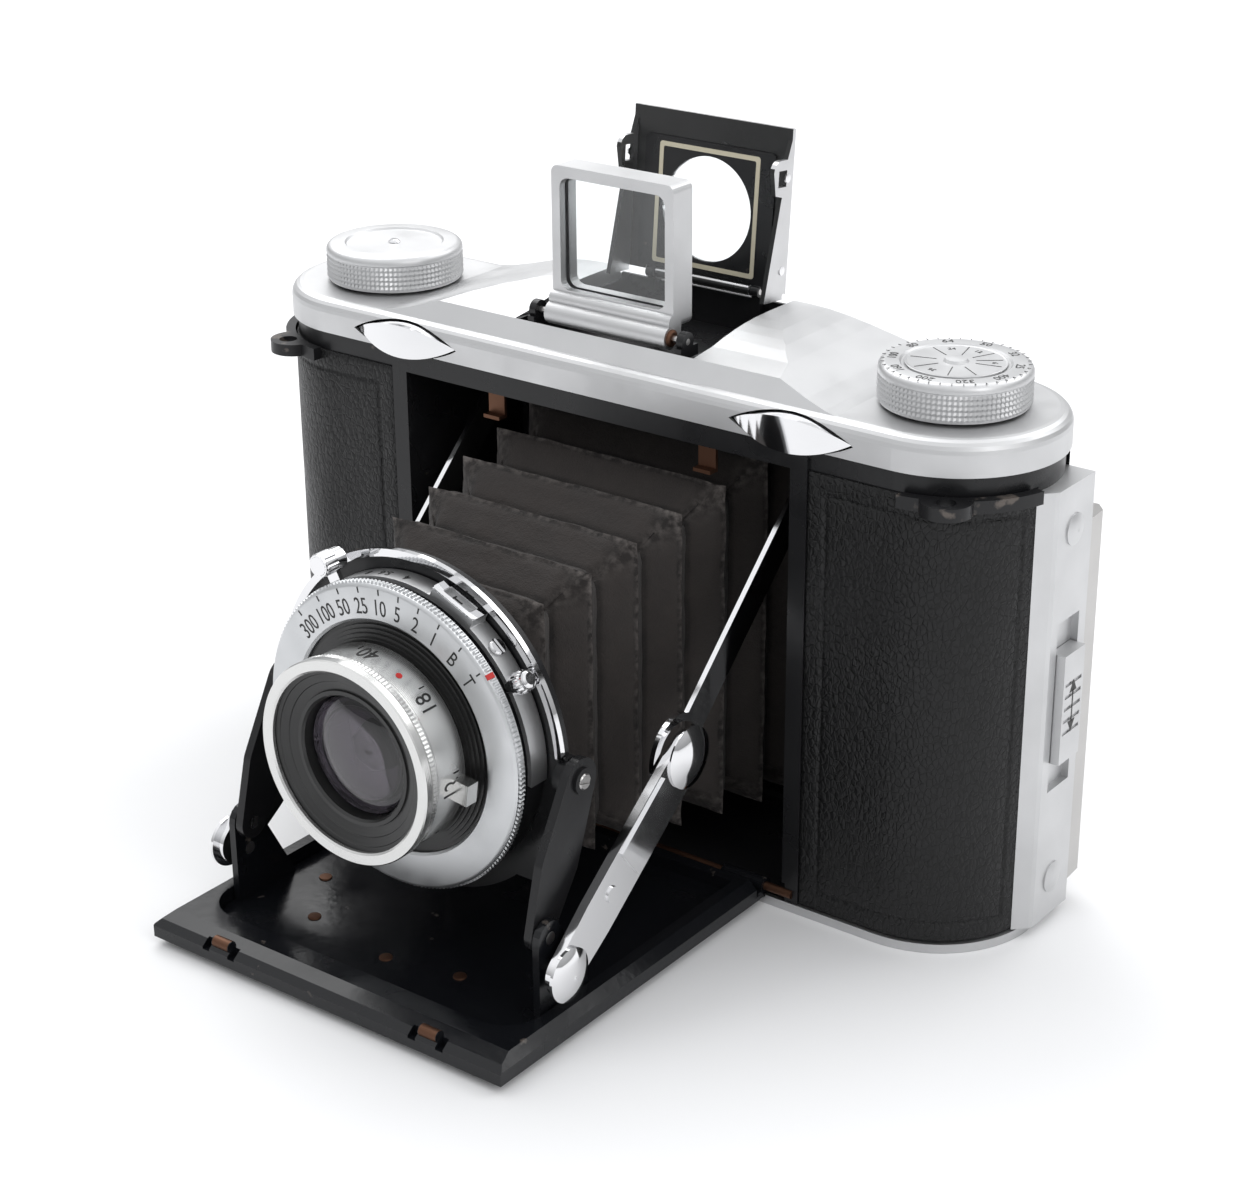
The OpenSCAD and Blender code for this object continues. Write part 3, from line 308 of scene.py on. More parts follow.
FINISH = {
    ENAMEL: ["body_shell", "film_gate", "back_door", "finder_well", "link_left", "link_right",
             "standard_plate", "takeup_spool", "feed_spool", "pressure_plate", "shutter_case"],
    WORN_ENAMEL: ["strap_lugs"],
    BED_ENAMEL: ["front_door", "door_pan"],
    SATIN: ["top_cover", "base_plate", "latch_plate", "latch_rivets", "latch_slider",
            "finder_front_frame", "reminder_disc", "shutter_band"],
    BRIGHT: ["release_button", "door_button", "strut_caps", "standard_hoop", "cocking_lever",
             "flash_socket", "window_cover"],
    STRUT: ["strut_lower_left", "strut_lower_right", "strut_upper_left", "strut_upper_right"],
    LEATHER: ["back_leather", "door_leather"],
    WINDOW_GLASS: ["finder_front_glass"],
    LENS_GLASS: ["lens_glass"],
    ANODISED: ["stepped_ring"],
    BARREL: ["focus_ring"],
    STEEL: ["film_rollers", "finder_pins", "back_hinge_pin", "strut_pins", "ear_pins",
            "pressure_spring", "back_catch"],
    RUST_BRASS: ["door_hinge_rod", "door_hooks"],
    RED_CLEAR: ["red_window"],
    BRASS: ["tripod_bush"],
    PANEL: ["finder_rear_panel"],
}


def dress(name, mat):
    mesh = nodes[name].data
    if not mesh.materials:
        mesh.materials.append(mat)
    for index in range(len(mesh.materials)):
        mesh.materials[index] = mat


for finish, names in FINISH.items():
    for each in names:
        dress(each, finish)
dress("finder_eye_lens", WINDOW_GLASS)


# ---------------------------------------------------------------- mesh helpers

def piece(name, verts, faces, mat, body, slot, smooth_deg=35):
    """Makes one piece of the visual model and puts it on its body."""
    mesh = bpy.data.meshes.new(name)
    mesh.from_pydata([tuple(v) for v in verts], [], faces)
    mesh.validate()
    weld = bmesh.new()
    weld.from_mesh(mesh)
    bmesh.ops.remove_doubles(weld, verts=weld.verts, dist=0.001 * MM)
    bmesh.ops.recalc_face_normals(weld, faces=weld.faces)
    weld.to_mesh(mesh)
    weld.free()
    mesh.update()
    mesh.materials.append(mat)
    mesh.shade_smooth()
    mesh.set_sharp_from_angle(angle=math.radians(smooth_deg))
    made = bpy.data.objects.new(name, mesh)
    bpy.context.scene.collection.objects.link(made)
    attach(made, body)
    return made


def upright(x, y, z):
    return Matrix.Translation((x, y, z))


def facing(axis, up, place):
    """Matrix whose Z points along axis and whose Y is as near up as it can be."""
    z = Vector(axis).normalized()
    x = Vector(up).cross(z).normalized()
    y = z.cross(x)
    turned_to = Matrix((x, y, z)).transposed().to_4x4()
    return Matrix.Translation(place) @ turned_to


def lens_place(y):
    """Local X right, Y up and Z forward, on the lens axis."""
    return facing((0, -1, 0), (0, 0, 1), (0, y, LENS_Z))


def revolve(profile, count, place, shape=None):
    """Turns [radius, height] points about local Z; shape(i, j, r) may change a radius."""
    verts, faces, rings = [], [], []
    for i, (r, h) in enumerate(profile):
        if r == 0:
            rings.append([len(verts)] * count)
            verts.append(place @ Vector((0, 0, h)))
            continue
        rings.append(list(range(len(verts), len(verts) + count)))
        for j in range(count):
            a = 2 * math.pi * j / count
            rr = shape(i, j, r) if shape else r
            verts.append(place @ Vector((rr * math.cos(a), rr * math.sin(a), h)))
    for low, high in zip(rings, rings[1:]):
        for j in range(count):
            k = (j + 1) % count
            corners = [low[j], low[k], high[k], high[j]]
            faces.append([c for n, c in enumerate(corners) if c != corners[n - 1]])
    return verts, faces


def join(*parts):
    """Joins [verts, faces] pairs into one."""
    verts, faces = [], []
    for some_verts, some_faces in parts:
        start = len(verts)
        verts += some_verts
        faces += [[start + c for c in face] for face in some_faces]
    return verts, faces


def slab(outline, holes_to, low, high, place):
    """A ring-shaped slab between an outline and an inner one with as many points."""
    count = len(outline)
    verts = [place @ Vector((x, y, h)) for h in (low, high) for x, y in outline]
    verts += [place @ Vector((x, y, h)) for h in (low, high) for x, y in holes_to]
    faces = []
    for j in range(count):
        k = (j + 1) % count
        out_low, out_high, in_low, in_high = 0, count, 2 * count, 3 * count
        faces.append([out_low + j, out_low + k, out_high + k, out_high + j])
        faces.append([in_low + k, in_low + j, in_high + j, in_high + k])
        faces.append([out_high + j, out_high + k, in_high + k, in_high + j])
        faces.append([out_low + k, out_low + j, in_low + j, in_low + k])
    return verts, faces


def rounded(w, h, r, per_corner=6):
    """Points of a rounded rectangle of half sizes w and h, anticlockwise from its right side."""
    points = []
    for quarter, (sx, sy) in enumerate(((1, 1), (-1, 1), (-1, -1), (1, -1))):
        for i in range(per_corner + 1):
            a = math.radians(90 * (quarter + i / per_corner))
            points.append((sx * (w - r) + r * math.cos(a), sy * (h - r) + r * math.sin(a)))
    return points


def divided(points, per_edge):
    """The same outline with points added along its longer edges."""
    made = []
    for n, (x, y) in enumerate(points):
        nx, ny = points[(n + 1) % len(points)]
        parts = per_edge if math.hypot(nx - x, ny - y) > 0.002 else 1
        made += [(x + (nx - x) * i / parts, y + (ny - y) * i / parts) for i in range(parts)]
    return made


def circle_like(points, r):
    """Points on a circle, each in the direction of one of the given points."""
    angles = [math.atan2(y, x) for x, y in points]
    return [(r * math.cos(a), r * math.sin(a)) for a in angles]


def screw(place, r, h, slot_w=0.26):
    """A slotted screw head: a domed disc in two halves over a sunk floor."""
    top_share = 0.86
    parts = [revolve([(0, -h), (r, -h), (r, 0.0), (0, 0.0)], 32, place)]
    half = slot_w * r
    steps = 14
    for side in (1, -1):
        start = math.asin(half / r)
        rim = [start + (math.pi - 2 * start) * i / steps for i in range(steps + 1)]
        if side < 0:
            rim = [a + math.pi for a in rim]
        low = [Vector((r * math.cos(a), r * math.sin(a), 0)) for a in rim]
        top = [Vector((top_share * v.x,
                       top_share * v.y if abs(top_share * v.y) > half else side * half, h))
               for v in low]
        count = len(low)
        verts = [place @ v for v in low + top]
        faces = [[i, (i + 1) % count, count + (i + 1) % count, count + i] for i in range(count)]
        faces += [list(range(count, 2 * count)), list(range(count - 1, -1, -1))]
        parts.append((verts, faces))
    return join(*parts)


def lettering(text, size, thick, narrow=1.0):
    """Mesh of a generic figure, centred, in its own plane."""
    curve = bpy.data.curves.new("figure", "FONT")
    curve.body = text
    curve.size = size
    curve.extrude = thick / 2
    curve.align_x = "CENTER"
    curve.align_y = "CENTER"
    curve.resolution_u = 3
    holder = bpy.data.objects.new("figure", curve)
    bpy.context.scene.collection.objects.link(holder)
    bpy.context.view_layer.update()
    mesh = bpy.data.meshes.new_from_object(holder.evaluated_get(
        bpy.context.evaluated_depsgraph_get()))
    verts = [Vector((v.co.x * narrow, v.co.y, v.co.z)) for v in mesh.vertices]
    faces = [list(p.vertices) for p in mesh.polygons]
    bpy.data.objects.remove(holder)
    bpy.data.curves.remove(curve)
    bpy.data.meshes.remove(mesh)
    return verts, faces


def bent(shape, fit):
    return [fit(v) for v in shape[0]], shape[1]


def on_ring(angle, radius, place):
    """Figure upright with its top away from the axis, on a flat ring."""
    a = math.radians(angle)
    out = Vector((math.cos(a), math.sin(a), 0))
    right = Vector((math.sin(a), -math.cos(a), 0))
    return lambda v: place @ (out * (radius + v.y) + right * v.x + Vector((0, 0, v.z)))


def on_barrel(angle, radius, place, forward):
    """Figure wrapped on a barrel, its top towards the front."""
    def fit(v):
        a = math.radians(angle) + v.x / radius
        r = radius + v.z
        return place @ Vector((r * math.cos(a), r * math.sin(a), forward + v.y))
    return fit


def tick(w, h, thick):
    """A short upright line, centred."""
    corners = [(-w / 2, -h / 2), (w / 2, -h / 2), (w / 2, h / 2), (-w / 2, h / 2)]
    verts = [Vector((x, y, z)) for z in (-thick / 2, thick / 2) for x, y in corners]
    faces = [[3, 2, 1, 0], [4, 5, 6, 7]] + [[i, (i + 1) % 4, 4 + (i + 1) % 4, 4 + i]
                                             for i in range(4)]
    return verts, faces


# ---------------------------------------------------------------- knurled winding knobs

def knob(node_name, body):
    """A winding knob with rows of square knurling under a plain rounded shoulder."""
    low, high = span(node_name)
    r = (high.x - low.x) / 2
    x = (high.x + low.x) / 2
    top = 6 * MM
    seat = high.z - top
    rows = 5
    teeth = 92
    pitch = 0.8 * MM
    depth = 0.32 * MM
    shaft_r = 2.4 * MM
    profile = [(0, low.z - seat), (shaft_r, low.z - seat), (shaft_r, 0), (r - 0.9 * MM, 0),
               (r - 0.35 * MM, 0.12 * MM)]
    first = len(profile)
    for i in range(2 * rows + 1):
        profile.append((r, 0.3 * MM + i * pitch / 2))
    last = len(profile)
    shoulder = 0.3 * MM + rows * pitch
    profile += [(r - 0.30 * MM, shoulder + 0.12 * MM), (r - 0.05 * MM, shoulder + 0.3 * MM)]
    fillet = 1.15 * MM
    for i in range(7):
        a = math.radians(15 * i)
        profile.append((r - 0.05 * MM - fillet + fillet * math.cos(a),
                        top - fillet + fillet * math.sin(a)))
    profile += [(r - 3.2 * MM, top), (r - 3.5 * MM, top - 0.3 * MM), (r - 9 * MM, top - 0.32 * MM),
                (0, top - 0.32 * MM)]

    def knurl(i, j, radius):
        if first <= i < last:
            peak = (i - first) % 2 == 1 and j % 2 == 1
            return radius if peak else radius - depth
        return radius
    made = piece(node_name + "_knurled", *revolve(profile, 2 * teeth, upright(x, 0, seat), knurl),
                 SATIN, body, "satin_chrome", 28)
    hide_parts(node_name)
    return Vector((x, 0, seat + top))


wind_top = knob("wind_knob", "wind")
feed_top = knob("feed_knob", "feed")


def knob_tops():
    """Film reminder on the right knob, plain centre pin on the left one."""
    disc_low, disc_high = span("reminder_disc")
    disc_r = (disc_high.x - disc_low.x) / 2
    thick = 0.06 * MM
    ring = upright(wind_top.x, 0, wind_top.z)
    marks = []
    for i, text in enumerate(("25", "32", "50", "64", "80", "100", "160", "200", "320", "400")):
        marks.append(bent(lettering(text, 1.9 * MM, thick), on_ring(20 + 36 * i, 9.3 * MM, ring)))
    for i in range(40):
        marks.append(bent(tick(0.1 * MM, 0.55 * MM, thick), on_ring(9 * i, 10.75 * MM, ring)))
    piece("wind_knob_figures", *join(*marks), BLACK_PAINT, "wind", "satin_chrome")
    face = upright(wind_top.x, 0, wind_top.z + 0.01 * MM)
    lines = [bent(tick(0.13 * MM, 3.9 * MM, thick), on_ring(a, 4.9 * MM, face))
             for a in (12, 38, 66, 104, 150, 197, 238, 290, 325)]
    lines += [bent(lettering(text, 1.25 * MM, thick), on_ring(a, 5.6 * MM, face))
              for text, a in (("6", 25), ("12", 85), ("24", 127), ("36", 262))]
    piece("reminder_lines", *join(*lines), BLACK_PAINT, "disc", "satin_chrome")
    groove = revolve([(disc_r - 0.25 * MM, -0.02 * MM), (disc_r - 0.12 * MM, 0.05 * MM),
                      (disc_r + 0.12 * MM, 0.05 * MM), (disc_r + 0.2 * MM, -0.02 * MM),
                      (disc_r - 0.25 * MM, -0.02 * MM)], 96, ring)
    piece("reminder_edge", *groove, SATIN, "wind", "satin_chrome")
    pin = revolve([(0, -0.4 * MM), (1.0 * MM, -0.4 * MM), (1.0 * MM, -0.15 * MM),
                   (0.6 * MM, 0.22 * MM), (0, 0.3 * MM)], 32, upright(feed_top.x, 0, feed_top.z))
    piece("feed_knob_pin", *pin, BRIGHT, "feed", "bright_chrome")


knob_tops()


# ---------------------------------------------------------------- leather panels

def fine_steps(length, inset, coarse):
    """Places from 0 to length, close together at both edges and at the embossed lines."""
    near = [0, 0.12, 0.3, 0.55, 0.9, 1.5]
    line = [-0.7, -0.4, -0.2, 0, 0.2, 0.4, 0.7]
    marks = {round(v, 3) for v in near} | {round(inset + v, 3) for v in line}
    marks |= {round(length - v, 3) for v in list(marks)}
    count = int(length / coarse)
    marks |= {round(length * i / count, 3) for i in range(count + 1)
              if min(abs(length * i / count - m) for m in marks) > coarse * 0.4}
    return sorted(marks)


def leather_panel(node_name, side):
    """The covering of one end, with rolled edges and a line pressed in round its border."""
    low, high = span(node_name)
    radius = -low.y / MM
    start = min(abs(low.x), abs(high.x)) / MM
    flat = SPOOL_X / MM - start
    end = radius * (math.pi / 2 + math.asin(high.y / MM / radius)) + flat
    inset = 3.3
    press = 0.24
    roll = 0.3
    lining = 0.56
    us = fine_steps(end, inset, 1.3)
    zs = fine_steps((high.z - low.z) / MM, inset, 2.2)
    height = zs[-1]

    def point(u, z, sink):
        r = radius - sink
        if u < flat:
            return Vector((side * (start + u), -r, z)) * MM
        a = (u - flat) / radius
        return Vector((side * (SPOOL_X / MM + r * math.sin(a)), -r * math.cos(a), z)) * MM

    def sink(u, z):
        edge = min(u, end - u, z, height - z)
        line = abs(edge - inset)
        swell = 0.05 * noise.noise(Vector((u * 0.25, z * 0.2, side)))
        return 0.02 + roll * math.exp(-edge / 0.28) + press * math.exp(-(line / 0.3) ** 2) + abs(swell)
    outer = [[point(u, low.z / MM + z, sink(u, z)) for u in us] for z in zs]
    inner = [[point(u, low.z / MM + z, lining) for u in us] for z in zs]
    verts = [v for row in outer for v in row] + [v for row in inner for v in row]
    across, up = len(us), len(zs)
    deep = across * up
    faces = []
    for i in range(up - 1):
        for j in range(across - 1):
            a, b = i * across + j, (i + 1) * across + j
            faces.append([a, a + 1, b + 1, b])
            faces.append([deep + b, deep + b + 1, deep + a + 1, deep + a])
    border = list(range(across))
    border += [i * across + across - 1 for i in range(1, up)]
    border += [(up - 1) * across + j for j in range(across - 2, -1, -1)]
    border += [i * across for i in range(up - 2, 0, -1)]
    for n, a in enumerate(border):
        b = border[(n + 1) % len(border)]
        faces.append([b, a, deep + a, deep + b])
    if side < 0:
        faces = [face[::-1] for face in faces]
    made = piece(node_name + "_skin", verts, faces, LEATHER, "root", "leather", 60)
    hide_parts(node_name)


leather_panel("leather_left", -1)
leather_panel("leather_right", 1)


# ---------------------------------------------------------------- bellows

def bellows():
    """Seven folds of cloth, each side a row of stiffened panels, with tucked gussets at the corners."""
    low, high = span("bellows")
    folds = 7
    back, front = high.y / MM, low.y / MM
    back_half = (25.4, 32.6)
    front_half = (17.6, 20.4)
    mouth_half = (30.9, 32.7)
    seat = 0.03
    dip = 3.6
    stations = [0.0, 0.05, 0.10, 0.16, 0.30, 0.5, 0.70, 0.84, 0.91, 1.0]
    along = []
    for f in range(2 * folds):
        for s in stations[:-1]:
            along.append((f, s))
    along.append((2 * folds - 1, 1.0))
    per_side = 26
    gusset = 5.0
    rows, marks = [], []
    for f, s in along:
        t = (f + s) / (2 * folds)
        valley = 1 - s if f % 2 == 0 else s
        flare = max(0.0, 1 - t / seat)
        half = [b + (g - b) * t + (m - b) * flare
                for b, g, m in zip(back_half, front_half, mouth_half)]
        raised = 0.16 <= s <= 0.84
        row, mark = [], []
        for side in range(4):
            long_half, out_half = (half[0], half[1]) if side % 2 == 0 else (half[1], half[0])
            for i in range(per_side):
                c = -1 + 2 * i / per_side
                inset = (1 - abs(c)) * long_half
                corner = max(0.0, 1 - inset / gusset)
                tuck = corner ** 1.5 * (0.06 + 2.6 * valley)
                sag = 0.28 * (1 - c * c) * math.sin(math.pi * s)
                place = Vector((c * long_half * 0.06, t * 9, side * 3.1))
                ripple = 0.22 * noise.noise(place * 3) + 0.10 * noise.noise(place * 11)
                step = 0.17 if raised and inset > 3.6 else 0.0
                out = out_half - dip * valley - tuck + step - sag * 0.4 + ripple
                x = c * (long_half - dip * valley * corner - tuck * 0.7)
                y = back + (front - back) * t + 0.25 * noise.noise(place * 5)
                turned_to = ((x, out), (out, -x), (-x, -out), (-out, x))[side]
                row.append(Vector((turned_to[0], y, LENS_Z / MM + turned_to[1])) * MM)
                mark.append((max(0.0, 1 - valley * 7) * (0.6 + 0.4 * corner) + 0.5 * corner,
                             1.0 if step else 0.15))
        rows.append(row)
        marks.append(mark)
    count = len(rows[0])
    wall = 1.1 * MM
    front_reach = 0.022
    shrink = 1 - wall / front_reach
    inner = [[Vector((p.x * shrink, p.y, LENS_Z + (p.z - LENS_Z) * shrink)) for p in row]
             for row in rows]
    verts = [p for row in rows for p in row] + [p for row in inner for p in row]
    deep = len(rows) * count
    faces = []
    for i in range(len(rows) - 1):
        for j in range(count):
            k = (j + 1) % count
            a, b = i * count, (i + 1) * count
            faces.append([a + j, a + k, b + k, b + j])
            faces.append([deep + b + j, deep + b + k, deep + a + k, deep + a + j])
    last = (len(rows) - 1) * count
    for j in range(count):
        k = (j + 1) % count
        faces.append([k, j, deep + j, deep + k])
        faces.append([last + j, last + k, deep + last + k, deep + last + j])
    made = piece("bellows_cloth", verts, faces, CLOTH, "root", "bellows_cloth", 50)
    for index, name in enumerate(("worn", "panel")):
        layer = made.data.attributes.new(name, "FLOAT", "POINT")
        flat = [min(1.0, m[index]) for row in marks for m in row]
        layer.data.foreach_set("value", flat + flat)
    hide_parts("bellows")
    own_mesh(made)


bellows()


# ---------------------------------------------------------------- shutter and lens

def front_ring():
    """Narrow front rim with a fine knurl, the black cone inside it and the knurled speed ring."""
    def fine(i, j, r):
        return r + (0.13 * MM if i in (3, 4) and j % 2 else 0)
    rim = [(15.0, 0), (15.45, 0), (15.45, 0.55), (15.72, 0.6), (15.72, 1.5), (15.5, 1.6),
           (15.88, 1.75), (15.88, 2.85), (15.7, 3.08), (14.25, 3.08), (13.95, 2.85), (13.9, 2.4),
           (14.4, 2.4), (14.4, 1.4), (15.0, 0)]
    made = piece("front_rim", *revolve([(r * MM, h * MM) for r, h in rim], 300,
                                       lens_place(RIM_HIGH.y), fine), BARREL, "focus",
                 "satin_aluminium", 30)
    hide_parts("lens_rim")
    cone = [(14.38, 0.05), (14.38, 2.35), (13.4, 2.0), (13.3, 1.85), (12.1, 1.45), (12.0, 1.3),
            (10.6, 0.9), (10.5, 1.15), (9.9, 1.15), (9.6, 0.75), (9.5, -1.5), (11.6, -1.5),
            (11.7, 0.05), (14.38, 0.05)]
    made = piece("front_cone", *revolve([(r * MM, h * MM) for r, h in cone], 128,
                                        lens_place(RIM_HIGH.y)), ANODISED, "focus",
                 "black_anodised", 30)
    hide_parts("name_cone")
    depth = (RING_HIGH.y - RING_LOW.y) / MM
    edge = RING_R / MM

    def milled(i, j, r):
        return r - (0.30 * MM if 3 <= i <= 4 and j % 4 < 2 else 0)
    ring = [(18.2, 0), (edge - 0.3, 0), (edge - 0.3, 0.2), (edge, 0.3), (edge, depth - 0.75),
            (edge - 0.35, depth - 0.65), (edge - 0.35, depth - 0.35), (edge - 0.6, depth - 0.1),
            (edge - 0.9, depth), (18.6, depth), (18.2, depth - 0.3), (18.2, 0)]
    made = piece("milled_speed_ring", *revolve([(r * MM, h * MM) for r, h in ring], 800,
                                               lens_place(RING_HIGH.y), milled), DIAL, "speed",
                 "satin_chrome", 30)
    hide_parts("speed_ring")


def shutter_details():
    """Figures, ticks, screws and small fittings of the shutter and the lens."""
    thick = 0.06 * MM
    face = lens_place(RING_LOW.y - 0.005 * MM)
    speeds = (("300", 137), ("100", 124.5), ("50", 113), ("25", 102.5), ("10", 92.5), ("5", 83),
              ("2", 73.5), ("1", 63.5), ("B", 52), ("T", 41))
    marks = []
    for text, angle in speeds:
        marks.append(bent(lettering(text, 3.55 * MM, thick, 0.74), on_ring(angle, 20.4 * MM, face)))
        marks.append(bent(tick(0.24 * MM, 0.9 * MM, thick), on_ring(angle, 22.95 * MM, face)))
    piece("speed_figures", *join(*marks), BLACK_PAINT, "speed", "satin_chrome")
    red = bent(tick(0.8 * MM, 1.5 * MM, 0.25 * MM),
               on_barrel(38.5, RING_R - 0.02 * MM, lens_place(RING_HIGH.y), 1.2 * MM))
    piece("speed_mark", *red, RED_PAINT, "speed", "satin_chrome")

    barrel_r = 15.42 * MM
    wide = lens_place(BARREL_HIGH.y)
    marks = []
    for text, angle in (("40", 88), ("18", 43), ("12", -7), ("9", -52), ("6", 200), ("4", 244),
                        ("3", 282), ("INF", 142)):
        marks.append(bent(lettering(text, 4.1 * MM, thick, 0.8),
                          on_barrel(angle, barrel_r, wide, 5.9 * MM)))
        marks.append(bent(tick(0.2 * MM, 1.1 * MM, thick),
                          on_barrel(angle + 9, barrel_r, wide, 5.0 * MM)))
    piece("focus_figures", *join(*marks), BLACK_PAINT, "focus", "satin_aluminium")
    dot = bent(revolve([(0, 0), (0.5 * MM, 0), (0.5 * MM, 0.1 * MM), (0, 0.14 * MM)], 24,
                       Matrix.Identity(4)), on_barrel(64, barrel_r - 0.04 * MM, wide, 6.6 * MM))
    piece("focus_dot", *dot, RED_PAINT, "focus", "satin_aluminium")

    front_ring()
    glass_low, glass_high = span("lens_glass")
    glass_r = (glass_high.x - glass_low.x) / 2
    blades = []
    count = 9
    for i in range(count):
        a = math.radians(360 * i / count)
        turn = Matrix.Rotation(a, 4, "Z")
        outline = [(3.1, -3.6), (8.6, -2.5), (8.9, 2.4), (3.4, 3.4)]
        lift = 0.05 * (i % 3) + 0.05 * i / count
        place = lens_place(glass_high.y + 2.2 * MM) @ turn
        verts = [place @ Vector((x * MM, y * MM, (z + lift) * MM)) for z in (0, 0.04)
                 for x, y in outline]
        faces = [[3, 2, 1, 0], [4, 5, 6, 7]]
        faces += [[n, (n + 1) % 4, 4 + (n + 1) % 4, 4 + n] for n in range(4)]
        blades.append((verts, faces))
    piece("iris_blades", *join(*blades), IRIS, "standard", "steel")
    step_r = glass_r - 0.9 * MM
    tunnel = revolve([(step_r, 0), (step_r, 1.2 * MM), (step_r - 1.1 * MM, 1.2 * MM),
                      (step_r - 1.1 * MM, 2.0 * MM), (step_r - 1.5 * MM, 2.0 * MM),
                      (step_r - 1.5 * MM, 0), (step_r, 0)], 96,
                     lens_place(glass_high.y + 1.9 * MM))
    piece("inner_cell", *tunnel, ANODISED, "standard", "black_anodised")

    # band: small figures, window with its pointer, slotted screw
    band_r = 24.02 * MM
    base = lens_place(BAND_HIGH.y)
    marks = [bent(lettering(text, 2.0 * MM, thick), on_barrel(angle, band_r, base, 1.9 * MM))
             for text, angle in (("5.6", 99), ("4", 89), ("8", 107))]
    piece("band_figures", *join(*marks), BLACK_PAINT, "standard", "satin_chrome")
    box_a = math.radians(66)
    out = Vector((math.cos(box_a), 0, math.sin(box_a)))
    centre = Vector((0, (BAND_LOW.y + BAND_HIGH.y) / 2 - 0.05 * MM, LENS_Z))
    window = facing(out, (0, -1, 0), centre + out * (25.12 * MM))
    frame_shape = slab(rounded(4.1 * MM, 1.75 * MM, 0.7 * MM), rounded(2.7 * MM, 0.95 * MM, 0.3 * MM),
                       -0.1 * MM, 0.16 * MM, window)
    piece("window_box_frame", *frame_shape, BRIGHT, "standard", "bright_chrome")
    sunk = facing(out, (0, -1, 0), centre + out * (24.85 * MM))
    stem = bent(tick(1.7 * MM, 0.28 * MM, 0.1 * MM),
                lambda v: sunk @ (v + Vector((0.3, 0.1, 0)) * MM))
    crossbar = bent(tick(0.25 * MM, 0.9 * MM, 0.1 * MM),
                    lambda v: sunk @ (v + Vector((1.0, 0, 0)) * MM))
    pointer = join(stem, crossbar)
    piece("window_pointer", *pointer, BLACK_PAINT, "standard", "satin_chrome")
    screw_a = math.radians(46)
    out = Vector((math.cos(screw_a), 0, math.sin(screw_a)))
    at = centre + out * (24.45 * MM)
    piece("band_screw", *screw(facing(out, (0.3, -1, 0.2), at), 1.3 * MM, 0.22 * MM), BRIGHT,
          "standard", "bright_chrome")


shutter_details()


def posts():
    """Knurled flash post on the band and the ribbed grip of the cocking lever."""
    low, high = span("flash_socket")
    out = Vector((math.cos(math.radians(32)), 0, math.sin(math.radians(32))))
    foot = Vector((0, (low.y + high.y) / 2, LENS_Z)) + out * (24.6 * MM)

    def ribs(i, j, r):
        return r - (0.16 * MM if 2 <= i <= 3 and j % 4 < 2 else 0)
    shape = revolve([(0, 0), (1.55 * MM, 0), (1.72 * MM, 0.3 * MM), (1.72 * MM, 1.7 * MM),
                     (1.5 * MM, 1.95 * MM), (1.25 * MM, 2.0 * MM), (1.25 * MM, 2.5 * MM),
                     (0.9 * MM, 2.75 * MM), (0, 2.75 * MM)], 64, facing(out, (0, -1, 0), foot), ribs)
    piece("flash_post", *shape, BRIGHT, "standard", "bright_chrome")
    low = span("cocking_lever")[0]
    lean = math.radians(118)
    out = Vector((math.cos(lean), 0, math.sin(lean)))
    at = Vector((0, low.y - 0.05 * MM, LENS_Z)) + out * (27.2 * MM)

    def grip(i, j, r):
        return r + (0.14 * MM if i in (2, 3) and j % 4 < 2 else 0)
    shape = revolve([(0, 0), (1.4 * MM, 0), (1.72 * MM, -0.35 * MM), (1.72 * MM, -2.6 * MM),
                     (1.5 * MM, -2.8 * MM), (0, -2.8 * MM)][::-1], 56,
                    facing((0, -1, 0), (0, 0, 1), at), grip)
    piece("lever_grip", *shape, BRIGHT, "cocking", "bright_chrome")


posts()


# ---------------------------------------------------------------- finder

def finder_details():
    """Painted frame line, pressed mask and rivets of the rear panel."""
    eye_low, eye_high = span("finder_eye_lens")
    centre = (eye_low + eye_high) / 2
    eye_r = (eye_high.x - eye_low.x) / 2
    tilt = math.radians(5)
    normal = Vector((0, -math.cos(tilt), math.sin(tilt)))
    up = Vector((0, math.sin(tilt), math.cos(tilt)))
    front = centre + normal * (0.40 * MM)
    place = facing(normal, up, front)
    mask = divided(rounded(12.6 * MM, 10.6 * MM, 0.9 * MM), 14)
    hole = circle_like(mask, eye_r + 0.05 * MM)
    piece("finder_mask", *slab(mask, hole, 0.0, 0.28 * MM, place), ENAMEL, "finder_rear",
          "black_enamel")
    line = slab(rounded(9.7 * MM, 9.7 * MM, 0.5 * MM), rounded(8.95 * MM, 8.95 * MM, 0.3 * MM),
                0.2 * MM, 0.36 * MM, place)
    piece("finder_frame_line", *line, CREAM, "finder_rear", "satin_chrome")
    rivets = []
    for side in (-1, 1):
        for along in (-7.2, 7.4):
            at = centre + up * (along * MM) + Vector((side * PANEL_HIGH.x, -1.2 * MM, 0))
            rivets.append(revolve([(0, -0.1 * MM), (0.75 * MM, -0.1 * MM), (0.7 * MM, 0.15 * MM),
                                   (0, 0.3 * MM)], 24, facing((side, 0, 0), up, at)))
    piece("finder_rivets", *join(*rivets), BRIGHT, "finder_rear", "bright_chrome")
    frame_side = span("finder_front_frame")[1].x
    ends = []
    hinge = joint_place("finder_front_fold")
    for side in (-1, 1):
        at = Vector((side * (frame_side + 0.02 * MM), hinge[1], hinge[2]))
        ends.append(revolve([(0, -0.1 * MM), (1.35 * MM, -0.1 * MM), (1.35 * MM, 0.25 * MM),
                             (1.0 * MM, 0.5 * MM), (0, 0.5 * MM)], 32,
                            facing((side, 0, 0), (0, 0, 1), at)))
    piece("finder_roll_ends", *join(*ends), RUST_BRASS, "finder_front", "worn_brass")


finder_details()


# ---------------------------------------------------------------- bed, links, latch

